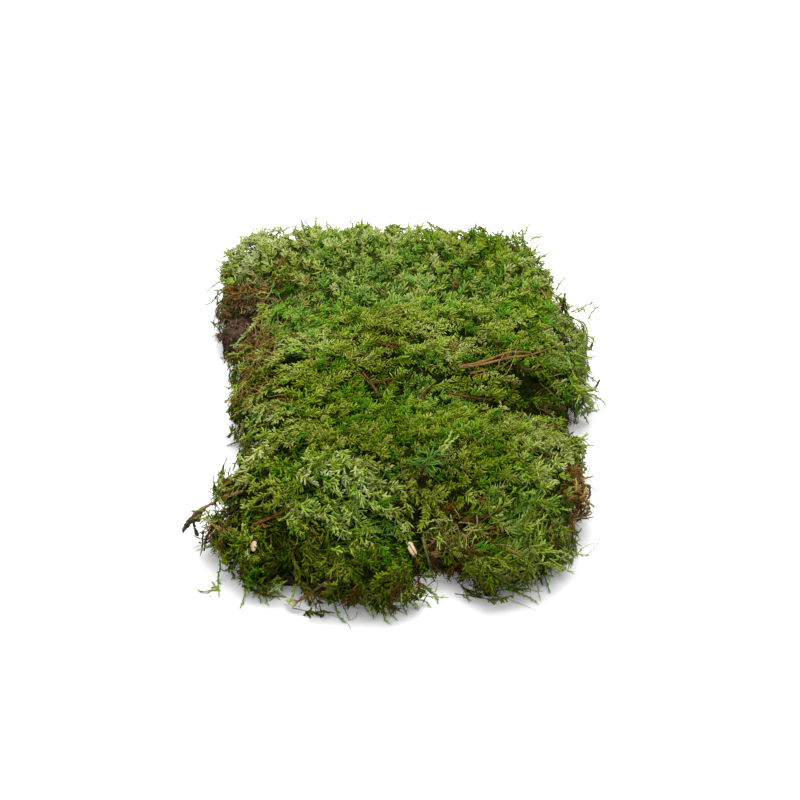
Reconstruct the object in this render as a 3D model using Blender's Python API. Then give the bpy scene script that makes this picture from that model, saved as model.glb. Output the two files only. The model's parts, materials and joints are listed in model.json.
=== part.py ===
"""A clump of feather moss, as lifted from a forest floor.

One mat of living moss lies on its pad of dark humus and rests on a flat cut. Its top
swells into a rear ridge, a wide middle hump with a lobe on the right, and a front half
that ends in two rounded lips with a dip between them. Fallen pine needles, twigs, bark
and a small green conifer sprig lie on it, each a piece of its own.

Lengths are in metres. +Z is up, the front faces -Y, and the origin is at the middle of
the flat underside.
"""

import math
import random

import bmesh
import bpy
from mathutils import Euler, Matrix, Vector
from mathutils.bvhtree import BVHTree

# ---------------------------------------------------------------- driving dimensions
GAP = 0.00035  # kept between the mat and what lies on it
BED_GAP = 0.0010  # kept between the mat and the humus under it
BASE_THICKNESS = 0.031  # of the mat where no swell raises it
RIM_DROP = 0.010  # how far the mat sinks from its top to its rim
RIM_WIDTH = 0.026
TUFT_RADIUS = 0.0135
TUFT_SPACING = 0.0145
TUFT_UNEVEN = 0.0035  # how far neighbouring tufts differ in height
TUCK = 0.006  # how far the foot of a rim tuft lies under its crown
HUMUS_INSET = 0.020
HUMUS_THICKNESS = 0.017
LIE_LIFT = 0.0006  # of a rod's middle above the mat it lies on

# The mat seen from above, from the far left corner round by the front to the right.
MAT_OUTLINE = (
    (-0.128, 0.174),
    (-0.140, 0.142),
    (-0.136, 0.106),
    (-0.124, 0.074),
    (-0.121, 0.034),
    (-0.117, 0.000),
    (-0.109, -0.045),
    (-0.115, -0.070),
    (-0.127, -0.092),
    (-0.118, -0.118),
    (-0.104, -0.138),
    (-0.074, -0.150),
    (-0.036, -0.163),
    (-0.002, -0.161),
    (0.020, -0.137),
    (0.038, -0.136),
    (0.063, -0.154),
    (0.090, -0.141),
    (0.109, -0.112),
    (0.118, -0.082),
    (0.124, -0.045),
    (0.113, -0.012),
    (0.131, 0.010),
    (0.137, 0.044),
    (0.141, 0.086),
    (0.130, 0.116),
    (0.119, 0.138),
    (0.109, 0.172),
    (0.080, 0.199),
    (0.010, 0.200),
    (-0.060, 0.200),
    (-0.104, 0.194),
)

# (x, y, half width, half depth, height, turn in degrees) of what rises or sinks.
SWELLS = (
    (-0.010, 0.162, 0.135, 0.040, 0.031, 0),  # rear ridge
    (-0.105, 0.138, 0.036, 0.036, 0.006, 0),  # its raised left end
    (0.030, 0.062, 0.105, 0.040, 0.026, -4),  # middle hump
    (0.106, 0.078, 0.036, 0.046, 0.010, 0),  # right lobe
    (-0.080, 0.010, 0.050, 0.040, 0.008, 0),  # left shoulder
    (0.030, -0.052, 0.095, 0.042, 0.020, 0),  # front plateau
    (-0.058, -0.082, 0.052, 0.036, 0.022, 12),  # left lip
    (0.078, -0.096, 0.036, 0.028, 0.010, 0),  # right lip
    (0.020, -0.108, 0.022, 0.026, -0.011, 0),  # dip between the lips
    (0.020, 0.006, 0.060, 0.011, -0.007, -4),  # crease behind the plateau
    (0.095, 0.004, 0.034, 0.013, -0.027, 8),  # crevice that opens to the right
    (-0.020, 0.110, 0.120, 0.011, -0.005, 3),  # crease in front of the rear ridge
    (-0.112, 0.088, 0.016, 0.020, -0.014, 0),  # torn edge above the bare humus
)

# The humus pad follows the mat, set in, and comes out under the torn edge.
HUMUS_NODULES = (
    # x, y, z, half width, half depth, half height
    (-0.120, 0.098, 0.010, 0.013, 0.015, 0.022),
    (-0.108, 0.116, 0.008, 0.018, 0.014, 0.018),
    (-0.104, 0.084, 0.008, 0.014, 0.013, 0.014),
    (0.094, -0.090, 0.006, 0.016, 0.018, 0.010),
    (0.028, -0.116, 0.004, 0.020, 0.012, 0.009),
    (0.100, 0.006, 0.006, 0.016, 0.012, 0.009),
    (-0.060, -0.118, 0.004, 0.020, 0.014, 0.008),
    (0.030, 0.150, 0.004, 0.050, 0.012, 0.012),
)

# Needles and twigs that lie on the mat: name, colour, radius of the butt, of the tip, and
# the way from butt to tip. Without a height, a point lies on the mat.
RODS = (
    ("pine_needle_1", "needle", 0.0006, 0.0004, (0.048, 0.021), (0.060, 0.024)),
    ("pine_needle_2", "needle", 0.0007, 0.0004, (0.104, 0.127), (0.1085, 0.110)),
    ("pine_needle_3", "needle", 0.0007, 0.0004, (0.091, -0.122), (0.0965, -0.1275)),
    ("pine_needle_4", "needle", 0.0008, 0.0004, (0.066, -0.133), (0.072, -0.136), (0.077, -0.140)),
    ("pine_needle_5", "needle", 0.0008, 0.0004, (0.019, -0.127), (0.030, -0.128)),
    (
        "pine_needle_6",
        "bark",
        0.0009,
        0.0006,
        (-0.101, -0.096, 0.0290),
        (-0.1185, -0.1080, 0.0200),
        (-0.1235, -0.1120, 0.0050),
    ),
    ("twig_1", "twig", 0.0010, 0.0007, (-0.016, 0.045), (-0.008, 0.041), (0.003, 0.036)),
    ("twig_2", "twig", 0.0010, 0.0006, (0.012, 0.001), (0.017, 0.011), (0.025, 0.017)),
    ("twig_3", "twig", 0.0013, 0.0007, (0.063, 0.008), (0.050, 0.010), (0.032, 0.008)),
    ("twig_4", "bark", 0.0010, 0.0007, (0.065, 0.043), (0.0718, 0.0368)),
    ("twig_5", "bark", 0.0012, 0.0009, (0.080, 0.027), (0.086, 0.023), (0.097, 0.025)),
    ("twig_6", "bark", 0.0011, 0.0007, (0.113, 0.054), (0.114, 0.047)),
    ("twig_7", "twig", 0.0009, 0.0005, (-0.090, -0.121), (-0.074, -0.115), (-0.058, -0.106)),
    ("twig_8", "bark", 0.0012, 0.0009, (0.037, -0.111), (0.049, -0.112), (0.063, -0.111)),
    (
        "twig_9",
        "bark",
        0.0010,
        0.0006,
        (0.123, 0.024, 0.0250),
        (0.134, 0.027, 0.0220),
        (0.1395, 0.036, 0.0240),
    ),
    (
        "twig_10",
        "bark",
        0.0012,
        0.0007,
        (0.117, 0.098, 0.0330),
        (0.1185, 0.100, 0.0440),
        (0.1190, 0.101, 0.0520),
    ),
    (
        "grass_blade",
        "sprig",
        0.0009,
        0.0004,
        (0.014, -0.120, 0.0250),
        (0.0165, -0.127, 0.0170),
        (0.0190, -0.132, 0.0080),
    ),
)

# Rods that are one piece with others: piece, colour and its rods as above.
NEEDLE_PAIR = (
    (0.0012, 0.0010, (0.0405, 0.0250), (0.0475, 0.0265)),
    (0.0008, 0.0005, (0.0440, 0.0250), (0.060, 0.0285), (0.077, 0.031), (0.091, 0.036), (0.112, 0.045)),
    (0.0008, 0.0005, (0.0440, 0.0262), (0.060, 0.0310), (0.075, 0.034), (0.090, 0.037)),
)
FORKED_TWIG = (
    (0.0011, 0.0007, (-0.014, 0.008), (-0.019, 0.017), (-0.0255, 0.025)),
    (0.0010, 0.0006, (-0.0195, 0.0175), (-0.005, 0.022), (0.007, 0.022)),
)
BARKED_TWIG = (
    (0.0008, 0.0012, (-0.099, -0.095, 0.042), (-0.114, -0.093, 0.032), (-0.132, -0.096, 0.020)),
)
BARK_ON_TWIG = (
    # centre, half size, turn in degrees
    ((-0.1335, -0.0995, 0.0195), (0.0026, 0.0070, 0.0024), (10, 0, -24)),
    ((-0.1318, -0.0985, 0.0160), (0.0022, 0.0020, 0.0060), (30, 12, 0)),
)

# The conifer sprig: its stem, and where along it, how far round and how long its needles are.
SPRIG_STEM = ((0.0120, -0.0850, 0.034), (0.0155, -0.0760, 0.047), (0.0215, -0.0630, 0.0560))
SPRIG_NEEDLES = 14
SPRIG_NEEDLE_LENGTH = 0.0125

# Lumps: name, colour, centre, half size and turn in degrees.
LUMPS = (
    ("wood_chip_1", "wood_chip", (0.0075, -0.1265), (0.0026, 0.0052, 0.0011), (38, 0, 30)),
    ("wood_chip_2", "wood_chip", (-0.0895, -0.1300), (0.0021, 0.0034, 0.0010), (40, 0, -12)),
    ("bark_bit", "bark", (-0.1085, -0.0855), (0.0034, 0.0026, 0.0022), (0, 10, 20)),
)

# The scrap of leaf hangs by its stalk in front of the left lip.
LEAF_OUTLINE = ((0.0, 0.0), (0.0030, 0.0018), (0.0068, 0.0046), (0.0088, 0.0030), (0.0062, -0.0010), (0.0036, -0.0034))
LEAF_THICKNESS = 0.0006
LEAF_STALK = (
    (-0.0620, -0.1575, 0.0075),
    (-0.0560, -0.1570, 0.0110),
    (-0.0490, -0.1560, 0.0180),
    (-0.0400, -0.1520, 0.0230),
)

COLOURS = {
    # name: (red, green, blue, roughness)
    "moss": (0.10, 0.15, 0.02, 0.85),
    "humus": (0.045, 0.030, 0.018, 0.95),
    "needle": (0.36, 0.17, 0.06, 0.55),
    "twig": (0.14, 0.07, 0.04, 0.75),
    "sprig": (0.05, 0.16, 0.04, 0.45),
    "bark": (0.06, 0.04, 0.03, 0.90),
    "wood_chip": (0.62, 0.45, 0.28, 0.70),
    "leaf": (0.30, 0.34, 0.12, 0.60),
}


# ---------------------------------------------------------------- plan and height
def smooth_closed_curve(points, steps):
    """Catmull-Rom curve through the points, as a closed loop of 2-D vectors."""
    loop = [Vector(p) for p in points]
    count = len(loop)
    curve = []
    for i in range(count):
        a, b, c, d = (loop[(i + k - 1) % count] for k in range(4))
        for step in range(steps):
            t = step / steps
            curve.append(
                0.5
                * (
                    2 * b
                    + (c - a) * t
                    + (2 * a - 5 * b + 4 * c - d) * t**2
                    + (3 * b - a - 3 * c + d) * t**3
                )
            )
    return curve


def depth_inside(point, loop):
    """Distance from a point to the loop, positive inside it and negative outside."""
    inside = False
    nearest = math.inf
    for a, b in zip(loop, loop[1:] + loop[:1]):
        if (a.y > point.y) != (b.y > point.y):
            crossing = a.x + (point.y - a.y) / (b.y - a.y) * (b.x - a.x)
            inside ^= point.x < crossing
        along = (b - a).normalized()
        reach = min(max((point - a).dot(along), 0.0), (b - a).length)
        nearest = min(nearest, (point - a - along * reach).length)
    return nearest if inside else -nearest


def swell_height(x, y):
    """Height of the top of the mat at (x, y), away from its rim."""
    height = BASE_THICKNESS
    for cx, cy, half_width, half_depth, rise, turn in SWELLS:
        angle = math.radians(turn)
        dx, dy = x - cx, y - cy
        u = (dx * math.cos(angle) + dy * math.sin(angle)) / half_width
        v = (dy * math.cos(angle) - dx * math.sin(angle)) / half_depth
        height += rise * math.exp(-(u * u + v * v))
    return height


# ---------------------------------------------------------------- mesh helpers
def new_object(name, build):
    """A mesh object whose bmesh the function build fills."""
    mesh = bpy.data.meshes.new(name)
    work = bmesh.new()
    build(work)
    work.to_mesh(mesh)
    work.free()
    obj = bpy.data.objects.new(name, mesh)
    bpy.context.scene.collection.objects.link(obj)
    return obj


def evaluated_mesh(obj):
    """A copy of the object's mesh with its modifiers applied."""
    graph = bpy.context.evaluated_depsgraph_get()
    return bpy.data.meshes.new_from_object(obj.evaluated_get(graph))


def apply_modifiers(obj):
    mesh = evaluated_mesh(obj)
    obj.modifiers.clear()
    obj.data = mesh


def keep_largest_body(obj):
    """Deletes the specks that a cut leaves beside the main body."""
    work = bmesh.new()
    work.from_mesh(obj.data)
    unseen = set(work.faces)
    bodies = []
    while unseen:
        stack = [unseen.pop()]
        body = []
        while stack:
            face = stack.pop()
            body.append(face)
            for edge in face.edges:
                for other in edge.link_faces:
                    if other in unseen:
                        unseen.discard(other)
                        stack.append(other)
        bodies.append(body)
    bodies.sort(key=len)
    for body in bodies[:-1]:
        bmesh.ops.delete(work, geom=body, context="FACES")
    work.to_mesh(obj.data)
    work.free()


def add_cut(obj, cutter):
    """Subtracts another object."""
    cut = obj.modifiers.new("Cut", "BOOLEAN")
    cut.operation = "DIFFERENCE"
    cut.solver = "EXACT"
    cut.object = cutter


def as_helper(obj):
    obj.hide_render = True
    obj.display_type = "WIRE"
    return obj


def grown_copy(obj, name, margin):
    """A hidden copy of a piece, swollen by margin, that cuts its bed."""
    copy = bpy.data.objects.new(name, evaluated_mesh(obj))
    copy.matrix_world = obj.matrix_world
    bpy.context.scene.collection.objects.link(copy)
    swell = copy.modifiers.new("Swell", "DISPLACE")
    swell.strength = margin
    swell.mid_level = 0.0
    return as_helper(copy)


def fuse(obj, voxel, smoothing, faces):
    """Joins overlapping shapes into one skin and thins it to about that many faces."""
    remesh = obj.modifiers.new("Fuse", "REMESH")
    remesh.mode = "VOXEL"
    remesh.voxel_size = voxel
    smooth = obj.modifiers.new("Smooth", "SMOOTH")
    smooth.factor = 0.5
    smooth.iterations = smoothing
    apply_modifiers(obj)
    triangles = sum(len(face.vertices) - 2 for face in obj.data.polygons)
    thin = obj.modifiers.new("Thin", "DECIMATE")
    thin.ratio = faces / triangles
    apply_modifiers(obj)


def cut_flat(obj):
    """Cuts the body off at z = 0 and closes the cut with one flat face."""
    work = bmesh.new()
    work.from_mesh(obj.data)
    everything = work.verts[:] + work.edges[:] + work.faces[:]
    found = bmesh.ops.bisect_plane(
        work, geom=everything, plane_co=(0, 0, 0), plane_no=(0, 0, -1), clear_outer=True
    )
    rim = [e for e in found["geom_cut"] if isinstance(e, bmesh.types.BMEdge)]
    bmesh.ops.contextual_create(work, geom=rim)
    bmesh.ops.recalc_face_normals(work, faces=work.faces)
    work.to_mesh(obj.data)
    work.free()


def give_material(obj, kind):
    material = bpy.data.materials.get(kind)
    if material is None:
        red, green, blue, roughness = COLOURS[kind]
        material = bpy.data.materials.new(kind)
        material.use_nodes = True
        shader = material.node_tree.nodes["Principled BSDF"]
        shader.inputs["Base Color"].default_value = (red, green, blue, 1.0)
        shader.inputs["Roughness"].default_value = roughness
        shader.inputs["Metallic"].default_value = 0.0
    obj.data.materials.clear()
    obj.data.materials.append(material)


# ---------------------------------------------------------------- rods and lumps
def smooth_open_curve(points, steps):
    """Catmull-Rom curve through the points, ends included."""
    row = [2 * points[0] - points[1], *points, 2 * points[-1] - points[-2]]
    curve = []
    for a, b, c, d in zip(row, row[1:], row[2:], row[3:]):
        for step in range(steps):
            t = step / steps
            curve.append(
                0.5
                * (
                    2 * b
                    + (c - a) * t
                    + (2 * a - 5 * b + 4 * c - d) * t**2
                    + (3 * b - a - 3 * c + d) * t**3
                )
            )
    return [*curve, points[-1]]


def laid_on(surface, points, lift):
    """The points as 3-D vectors; those without a height lie on the surface, a bit evened out."""
    placed = []
    for point in points:
        if len(point) == 3:
            placed.append(Vector(point))
            continue
        hit = surface.ray_cast(Vector((*point, 1.0)), Vector((0, 0, -1)))[0]
        placed.append(hit + Vector((0, 0, lift)))
    return placed


def new_rod(name, path, butt, tip, sides=5):
    """A closed tapered rod along a path of 3-D vectors."""

    def build(work):
        rings = []
        side = (path[1] - path[0]).cross(Vector((0, 0, 1))).normalized()
        for i, point in enumerate(path):
            along = (path[min(i + 1, len(path) - 1)] - path[max(i - 1, 0)]).normalized()
            side = (side - along * side.dot(along)).normalized()
            across = along.cross(side)
            radius = butt + (tip - butt) * i / (len(path) - 1)
            ring = []
            for k in range(sides):
                angle = 2 * math.pi * k / sides
                out = side * math.cos(angle) + across * math.sin(angle)
                ring.append(work.verts.new(point + out * radius))
            rings.append(ring)
        for lower, upper in zip(rings, rings[1:]):
            for k in range(sides):
                n = (k + 1) % sides
                work.faces.new((lower[k], lower[n], upper[n], upper[k]))
        work.faces.new(list(reversed(rings[0])))
        work.faces.new(rings[-1])
        bmesh.ops.recalc_face_normals(work, faces=work.faces)

    return new_object(name, build)


def new_lump(name, centre, size, turn, rng, roughness):
    """An uneven rounded lump."""

    def build(work):
        bmesh.ops.create_icosphere(work, subdivisions=2, radius=1.0)
        angles = [math.radians(a) for a in turn]
        place = Matrix.Translation(centre) @ Euler(angles).to_matrix().to_4x4()
        for vert in work.verts:
            scale = 1.0 + rng.uniform(-roughness, roughness)
            vert.co = Vector([c * s * scale for c, s in zip(vert.co, size)])
            vert.co = place @ vert.co
        bmesh.ops.dissolve_limit(
            work, angle_limit=math.radians(8), verts=work.verts, edges=work.edges
        )
        bmesh.ops.triangulate(work, faces=work.faces)

    return new_object(name, build)


def unite(name, colour, parts, beds):
    """Makes one piece of overlapping parts, and adds the cutters of its bed to beds."""
    for part in parts:
        beds.append(grown_copy(part, f"{part.name}_bed", GAP))
    body = parts[0]
    for part in parts[1:]:
        union = body.modifiers.new("Join", "BOOLEAN")
        union.operation = "UNION"
        union.solver = "EXACT"
        union.object = part
    apply_modifiers(body)
    for part in parts[1:]:
        bpy.data.objects.remove(part, do_unlink=True)
    body.name = name
    give_material(body, colour)


# ---------------------------------------------------------------- debris
def laid_rods(name, rods, surface):
    made = []
    for i, (butt, tip, *points) in enumerate(rods):
        path = smooth_open_curve(laid_on(surface, points, LIE_LIFT), 2)
        made.append(new_rod(f"{name}_part_{i}", path, butt, tip))
    return made


def sprig_parts():
    """The stem and its needles, which spiral round its upper half."""
    stem = smooth_open_curve([Vector(p) for p in SPRIG_STEM], 3)
    parts = [new_rod("sprig_stem", stem, 0.0011, 0.0008, sides=6)]
    axis = (stem[-1] - stem[-3]).normalized()
    side = axis.cross(Vector((0, 0, 1))).normalized()
    for i in range(SPRIG_NEEDLES):
        share = i / (SPRIG_NEEDLES - 1)
        where = (0.45 + 0.5 * share) * (len(stem) - 1)
        low = min(int(where), len(stem) - 2)
        root = stem[low].lerp(stem[low + 1], where - low)
        around = i * math.radians(137.5)
        out = side * math.cos(around) + axis.cross(side) * math.sin(around) * 0.6
        out = (out.normalized() + axis * (0.35 + 0.9 * share)).normalized()
        length = SPRIG_NEEDLE_LENGTH * (1.1 - 0.35 * share)
        middle = root + out * length * 0.5 + Vector((0, 0, 0.0006))
        path = [root, middle, root + out * length]
        parts.append(new_rod(f"sprig_needle_{i}", path, 0.0006, 0.0003, sides=4))
    return parts


def leaf_parts():
    """The stalk, and the torn blade that hangs from its lower end."""
    stalk = smooth_open_curve([Vector(p) for p in LEAF_STALK], 2)

    def build(work):
        layers = []
        for height in (0.0, LEAF_THICKNESS):
            layer = []
            for x, y in LEAF_OUTLINE:
                fold = -0.25 * abs(y) - 0.18 * x
                corner = stalk[0] + Vector((0.0012 - x, y, height + fold))
                layer.append(work.verts.new(corner))
            layers.append(layer)
        count = len(LEAF_OUTLINE)
        for k in range(count):
            n = (k + 1) % count
            work.faces.new((layers[0][k], layers[0][n], layers[1][n], layers[1][k]))
        work.faces.new(list(reversed(layers[0])))
        work.faces.new(layers[1])
        bmesh.ops.triangulate(work, faces=work.faces)
        bmesh.ops.recalc_face_normals(work, faces=work.faces)

    return [new_rod("leaf_stalk", stalk, 0.0006, 0.0009), new_object("leaf_blade", build)]


def make_debris(surface, rng):
    """Makes everything that lies on the mat, and returns the cutters of its beds."""
    beds = []
    for name, colour, *rod in RODS:
        unite(name, colour, laid_rods(name, [rod], surface), beds)
    unite("pine_needle_pair", "needle", laid_rods("pair", NEEDLE_PAIR, surface), beds)
    unite("forked_twig", "twig", laid_rods("fork", FORKED_TWIG, surface), beds)
    barked = laid_rods("barked", BARKED_TWIG, surface)
    for i, row in enumerate(BARK_ON_TWIG):
        barked.append(new_lump(f"bark_{i}", *row, rng, 0.16))
    unite("barked_twig", "bark", barked, beds)
    for name, colour, spot, size, turn in LUMPS:
        centre = laid_on(surface, [spot], size[2] * 0.5)[0]
        unite(name, colour, [new_lump(name, centre, size, turn, rng, 0.07)], beds)
    unite("conifer_sprig", "sprig", sprig_parts(), beds)
    unite("leaf_scrap", "leaf", leaf_parts(), beds)
    return beds


# ---------------------------------------------------------------- moss and humus
def add_tuft(work, crown, radius, lean):
    """A dome on a column that stands on the floor, its foot set back by lean."""
    made = bmesh.ops.create_icosphere(work, subdivisions=2, radius=radius)
    for vert in made["verts"]:
        below = vert.co.z < -0.3 * radius
        vert.co += crown - Vector((0, 0, radius))
        if below:
            vert.co += lean
            vert.co.z = -radius


def build_mat(outline, rng):
    def build(work):
        rows = 1 + int(0.36 / TUFT_SPACING / 0.87)
        columns = 1 + int(0.30 / TUFT_SPACING)
        for row in range(rows):
            for column in range(columns):
                spot = Vector(
                    (
                        -0.150 + TUFT_SPACING * (column + 0.5 * (row % 2)),
                        -0.170 + TUFT_SPACING * 0.87 * row,
                    )
                )
                spot.x += rng.uniform(-0.3, 0.3) * TUFT_SPACING
                spot.y += rng.uniform(-0.3, 0.3) * TUFT_SPACING
                radius = TUFT_RADIUS * rng.uniform(0.82, 1.2)
                uneven = rng.uniform(-TUFT_UNEVEN, TUFT_UNEVEN)
                inset = depth_inside(spot, outline)
                if inset < 0.72 * radius:
                    continue
                rim = max(0.0, 1.0 - (inset - 0.7 * radius) / RIM_WIDTH)
                top = swell_height(spot.x, spot.y) + uneven - RIM_DROP * rim**2
                crown = Vector((spot.x, spot.y, top))
                lean = -Vector((spot.x, spot.y, 0)).normalized() * TUCK * (rim > 0.3)
                add_tuft(work, crown, radius, lean)

    return build


def make_mat(rng):
    outline = smooth_closed_curve(MAT_OUTLINE, 4)
    mat = new_object("moss_carpet", build_mat(outline, rng))
    fuse(mat, voxel=0.0032, smoothing=5, faces=4150)
    cut_flat(mat)
    return mat


def build_humus(outline, rng):
    spacing = 0.016

    def build(work):
        for row in range(24):
            for column in range(20):
                spot = Vector((-0.150 + spacing * column, -0.175 + spacing * row))
                inset = depth_inside(spot, outline)
                if inset < HUMUS_INSET:
                    continue
                top = HUMUS_THICKNESS + rng.uniform(-0.003, 0.003)
                add_tuft(work, Vector((*spot, top)), 0.013, Vector())
        for x, y, z, half_width, half_depth, half_height in HUMUS_NODULES:
            size = Matrix.Diagonal((half_width, half_depth, half_height, 1.0))
            place = Matrix.Translation((x, y, z)) @ size
            bmesh.ops.create_icosphere(work, subdivisions=2, radius=1.0, matrix=place)

    return build


def make_humus(rng):
    """The humus pad and the cutter for its bed in the mat, which reaches below the floor."""
    outline = smooth_closed_curve(MAT_OUTLINE, 4)
    humus = new_object("humus_base", build_humus(outline, rng))
    fuse(humus, voxel=0.0040, smoothing=6, faces=1000)
    bed = grown_copy(humus, "humus_bed", BED_GAP)
    cut_flat(humus)
    give_material(humus, "humus")
    return humus, bed


def main():
    for obj in list(bpy.data.objects):
        bpy.data.objects.remove(obj, do_unlink=True)
    rng = random.Random(7)
    mat = make_mat(rng)
    humus, bed = make_humus(rng)
    add_cut(mat, bed)
    surface = BVHTree.FromObject(mat, bpy.context.evaluated_depsgraph_get())
    for bed in make_debris(surface, rng):
        add_cut(mat, bed)
    apply_modifiers(mat)
    keep_largest_body(mat)
    give_material(mat, "moss")


main()
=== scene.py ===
"""Looks of a clump of feather moss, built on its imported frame.

The carpet is thousands of pinnate shoots laid over the frame's moss solid: each shoot is
a stem with knobbly branchlets, copied from masters modelled once and joined into a few
meshes. Under them lie a dark core and the humus, and debris lies on top. +Z is up and the
front is at -Y. Lengths are in metres, apart from the tables that say millimetres.
"""

import json
import logging
import math
from dataclasses import dataclass, field
from enum import Enum

import bpy
import numpy as np
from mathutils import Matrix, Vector
from mathutils.bvhtree import BVHTree
from mathutils.kdtree import KDTree


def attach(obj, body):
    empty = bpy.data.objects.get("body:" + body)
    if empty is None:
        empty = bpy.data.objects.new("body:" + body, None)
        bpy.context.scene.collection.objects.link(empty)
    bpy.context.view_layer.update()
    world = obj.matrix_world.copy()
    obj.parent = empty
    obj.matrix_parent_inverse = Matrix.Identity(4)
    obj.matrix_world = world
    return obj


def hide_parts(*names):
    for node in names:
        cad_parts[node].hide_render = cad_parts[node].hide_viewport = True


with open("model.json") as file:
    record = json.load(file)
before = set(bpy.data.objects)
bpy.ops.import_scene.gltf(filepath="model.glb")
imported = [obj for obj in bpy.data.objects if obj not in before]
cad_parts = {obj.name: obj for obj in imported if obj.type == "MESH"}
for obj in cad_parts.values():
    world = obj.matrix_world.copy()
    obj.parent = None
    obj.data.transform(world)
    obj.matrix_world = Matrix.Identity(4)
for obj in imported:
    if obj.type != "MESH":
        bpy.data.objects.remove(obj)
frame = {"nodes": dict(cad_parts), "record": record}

LOG = logging.getLogger("moss_clump")
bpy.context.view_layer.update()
BODY = "root"
UV_MAP = "OFBake"  # x is the place on a palette, y runs from root to tip and carries the painted light and shade
FULL_TURN = 2 * math.pi
WAVES = 6  # sines in one uneven field

Array = np.ndarray
Triple = tuple[float, float, float]  # a place, a direction or sizes along x, y and z
Colour = Triple
Stops = tuple[tuple[float, Colour], ...]  # of a colour ramp
Material = bpy.types.Material
Piece = bpy.types.Object
Socket = bpy.types.NodeSocket


# ---- small vector helpers
def unit(vectors: Array) -> Array:
    """Scales each row to length one.

    Args:
        vectors: Rows of three numbers.

    Returns:
        The rows, each of length one.
    """
    length = np.linalg.norm(vectors, axis=-1, keepdims=True)
    return vectors / np.maximum(length, 1e-12)


def across(vectors: Array, axes: Array) -> Array:
    """Scales to one what is left of each row without its part along the matching axis."""
    return unit(vectors - axes * np.sum(vectors * axes, axis=-1, keepdims=True))


def grey(value: float) -> Colour:
    """A grey of this brightness."""
    return (value, value, value)


def waves(places: Array, size: float, seed: int) -> Array:
    """A smooth uneven field over space, about -1 to 1.

    Args:
        places: Rows of x, y, z.
        size: Rough distance between two highs, in metres.
        seed: Picks another field.

    Returns:
        One value for each row.
    """
    rng = np.random.default_rng(seed)
    value = np.zeros(len(places))
    for _ in range(WAVES):
        direction = unit(rng.normal(size=3))
        turn = rng.uniform(0, FULL_TURN)
        value += np.sin(places @ direction * FULL_TURN / size * rng.uniform(0.7, 1.4) + turn)
    return value * 2 / WAVES


def search_tree(places: Array | list[Vector]) -> KDTree:
    """Builds a balanced search tree.

    Args:
        places: Points in space.

    Returns:
        The tree, with each point under its row number.
    """
    tree = KDTree(len(places))
    for index, place in enumerate(places):
        tree.insert(Vector(place), index)
    tree.balance()
    return tree


# ---- modelling by operators
class Modeller:
    """Selects, edits and joins objects with Blender's operators, as by hand."""

    @staticmethod
    def deselect() -> None:
        """Leaves edit mode and deselects everything."""
        if bpy.context.object and bpy.context.object.mode != "OBJECT":
            bpy.ops.object.mode_set(mode="OBJECT")
        bpy.ops.object.select_all(action="DESELECT")

    @classmethod
    def activate(cls, *objects: Piece) -> None:
        """Selects some objects only.

        Args:
            *objects: The objects; the first one becomes active.
        """
        cls.deselect()
        for obj in objects:
            obj.select_set(True)
        bpy.context.view_layer.objects.active = objects[0]

    @classmethod
    def apply_modifiers(cls, obj: Piece) -> None:
        """Applies modifiers in order.

        Args:
            obj: The object that has them.
        """
        cls.activate(obj)
        for modifier in list(obj.modifiers):
            bpy.ops.object.modifier_apply(modifier=modifier.name)

    @classmethod
    def merged_copy(cls, name: str, *nodes: str) -> Piece:
        """Copies CAD nodes into one new object, and leaves the nodes as they are.

        Args:
            name: The new object's name.
            *nodes: The nodes' names.

        Returns:
            The new object, without a material.
        """
        copies = []
        for node in nodes:
            copy = bpy.data.objects.new(name, frame["nodes"][node].data.copy())
            bpy.context.scene.collection.objects.link(copy)
            copies.append(copy)
        cls.activate(*copies)
        if len(copies) > 1:
            bpy.ops.object.join()
        merged = bpy.context.view_layer.objects.active
        merged.name = name
        merged.data.materials.clear()
        return merged

    @classmethod
    def remesh(cls, obj: Piece, voxel: float, smoothing: int) -> None:
        """Gives an object an even skin.

        Args:
            obj: The object.
            voxel: Size of the faces, about.
            smoothing: How often the skin is smoothed.
        """
        remesh = obj.modifiers.new("Skin", "REMESH")
        remesh.mode = "VOXEL"
        remesh.voxel_size = voxel
        smooth = obj.modifiers.new("Smooth", "SMOOTH")
        smooth.iterations = smoothing
        cls.apply_modifiers(obj)

    @staticmethod
    def roughen(
        obj: Piece, name: str, grain: float, strength: float, level: float = 0.5
    ) -> bpy.types.Modifier:
        """Adds a displacement by cloudy noise.

        Args:
            obj: The object.
            name: Name of the modifier and its noise.
            grain: Size of the lumps, in metres.
            strength: From the lowest to the highest lump, in metres.
            level: Noise that leaves the surface where it is.

        Returns:
            The modifier, still to be applied.
        """
        rough = obj.modifiers.new(name, "DISPLACE")
        rough.texture = bpy.data.textures.new(name, "CLOUDS")
        rough.texture.noise_scale = grain
        rough.strength = strength
        rough.mid_level = level
        return rough

    @classmethod
    def coat(cls, obj: Piece, material: Material) -> None:
        """Finishes a piece with smooth shading.

        Args:
            obj: The piece.
            material: Its only material.
        """
        obj.data.materials.clear()
        obj.data.materials.append(material)
        cls.activate(obj)
        bpy.ops.object.shade_smooth()
        LOG.info("%s: %d faces", obj.name, len(obj.data.polygons))


@dataclass(frozen=True)
class Ring:
    """A ring of a master shape: how far along its unit length, and its radius."""

    along: float
    radius: float


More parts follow.
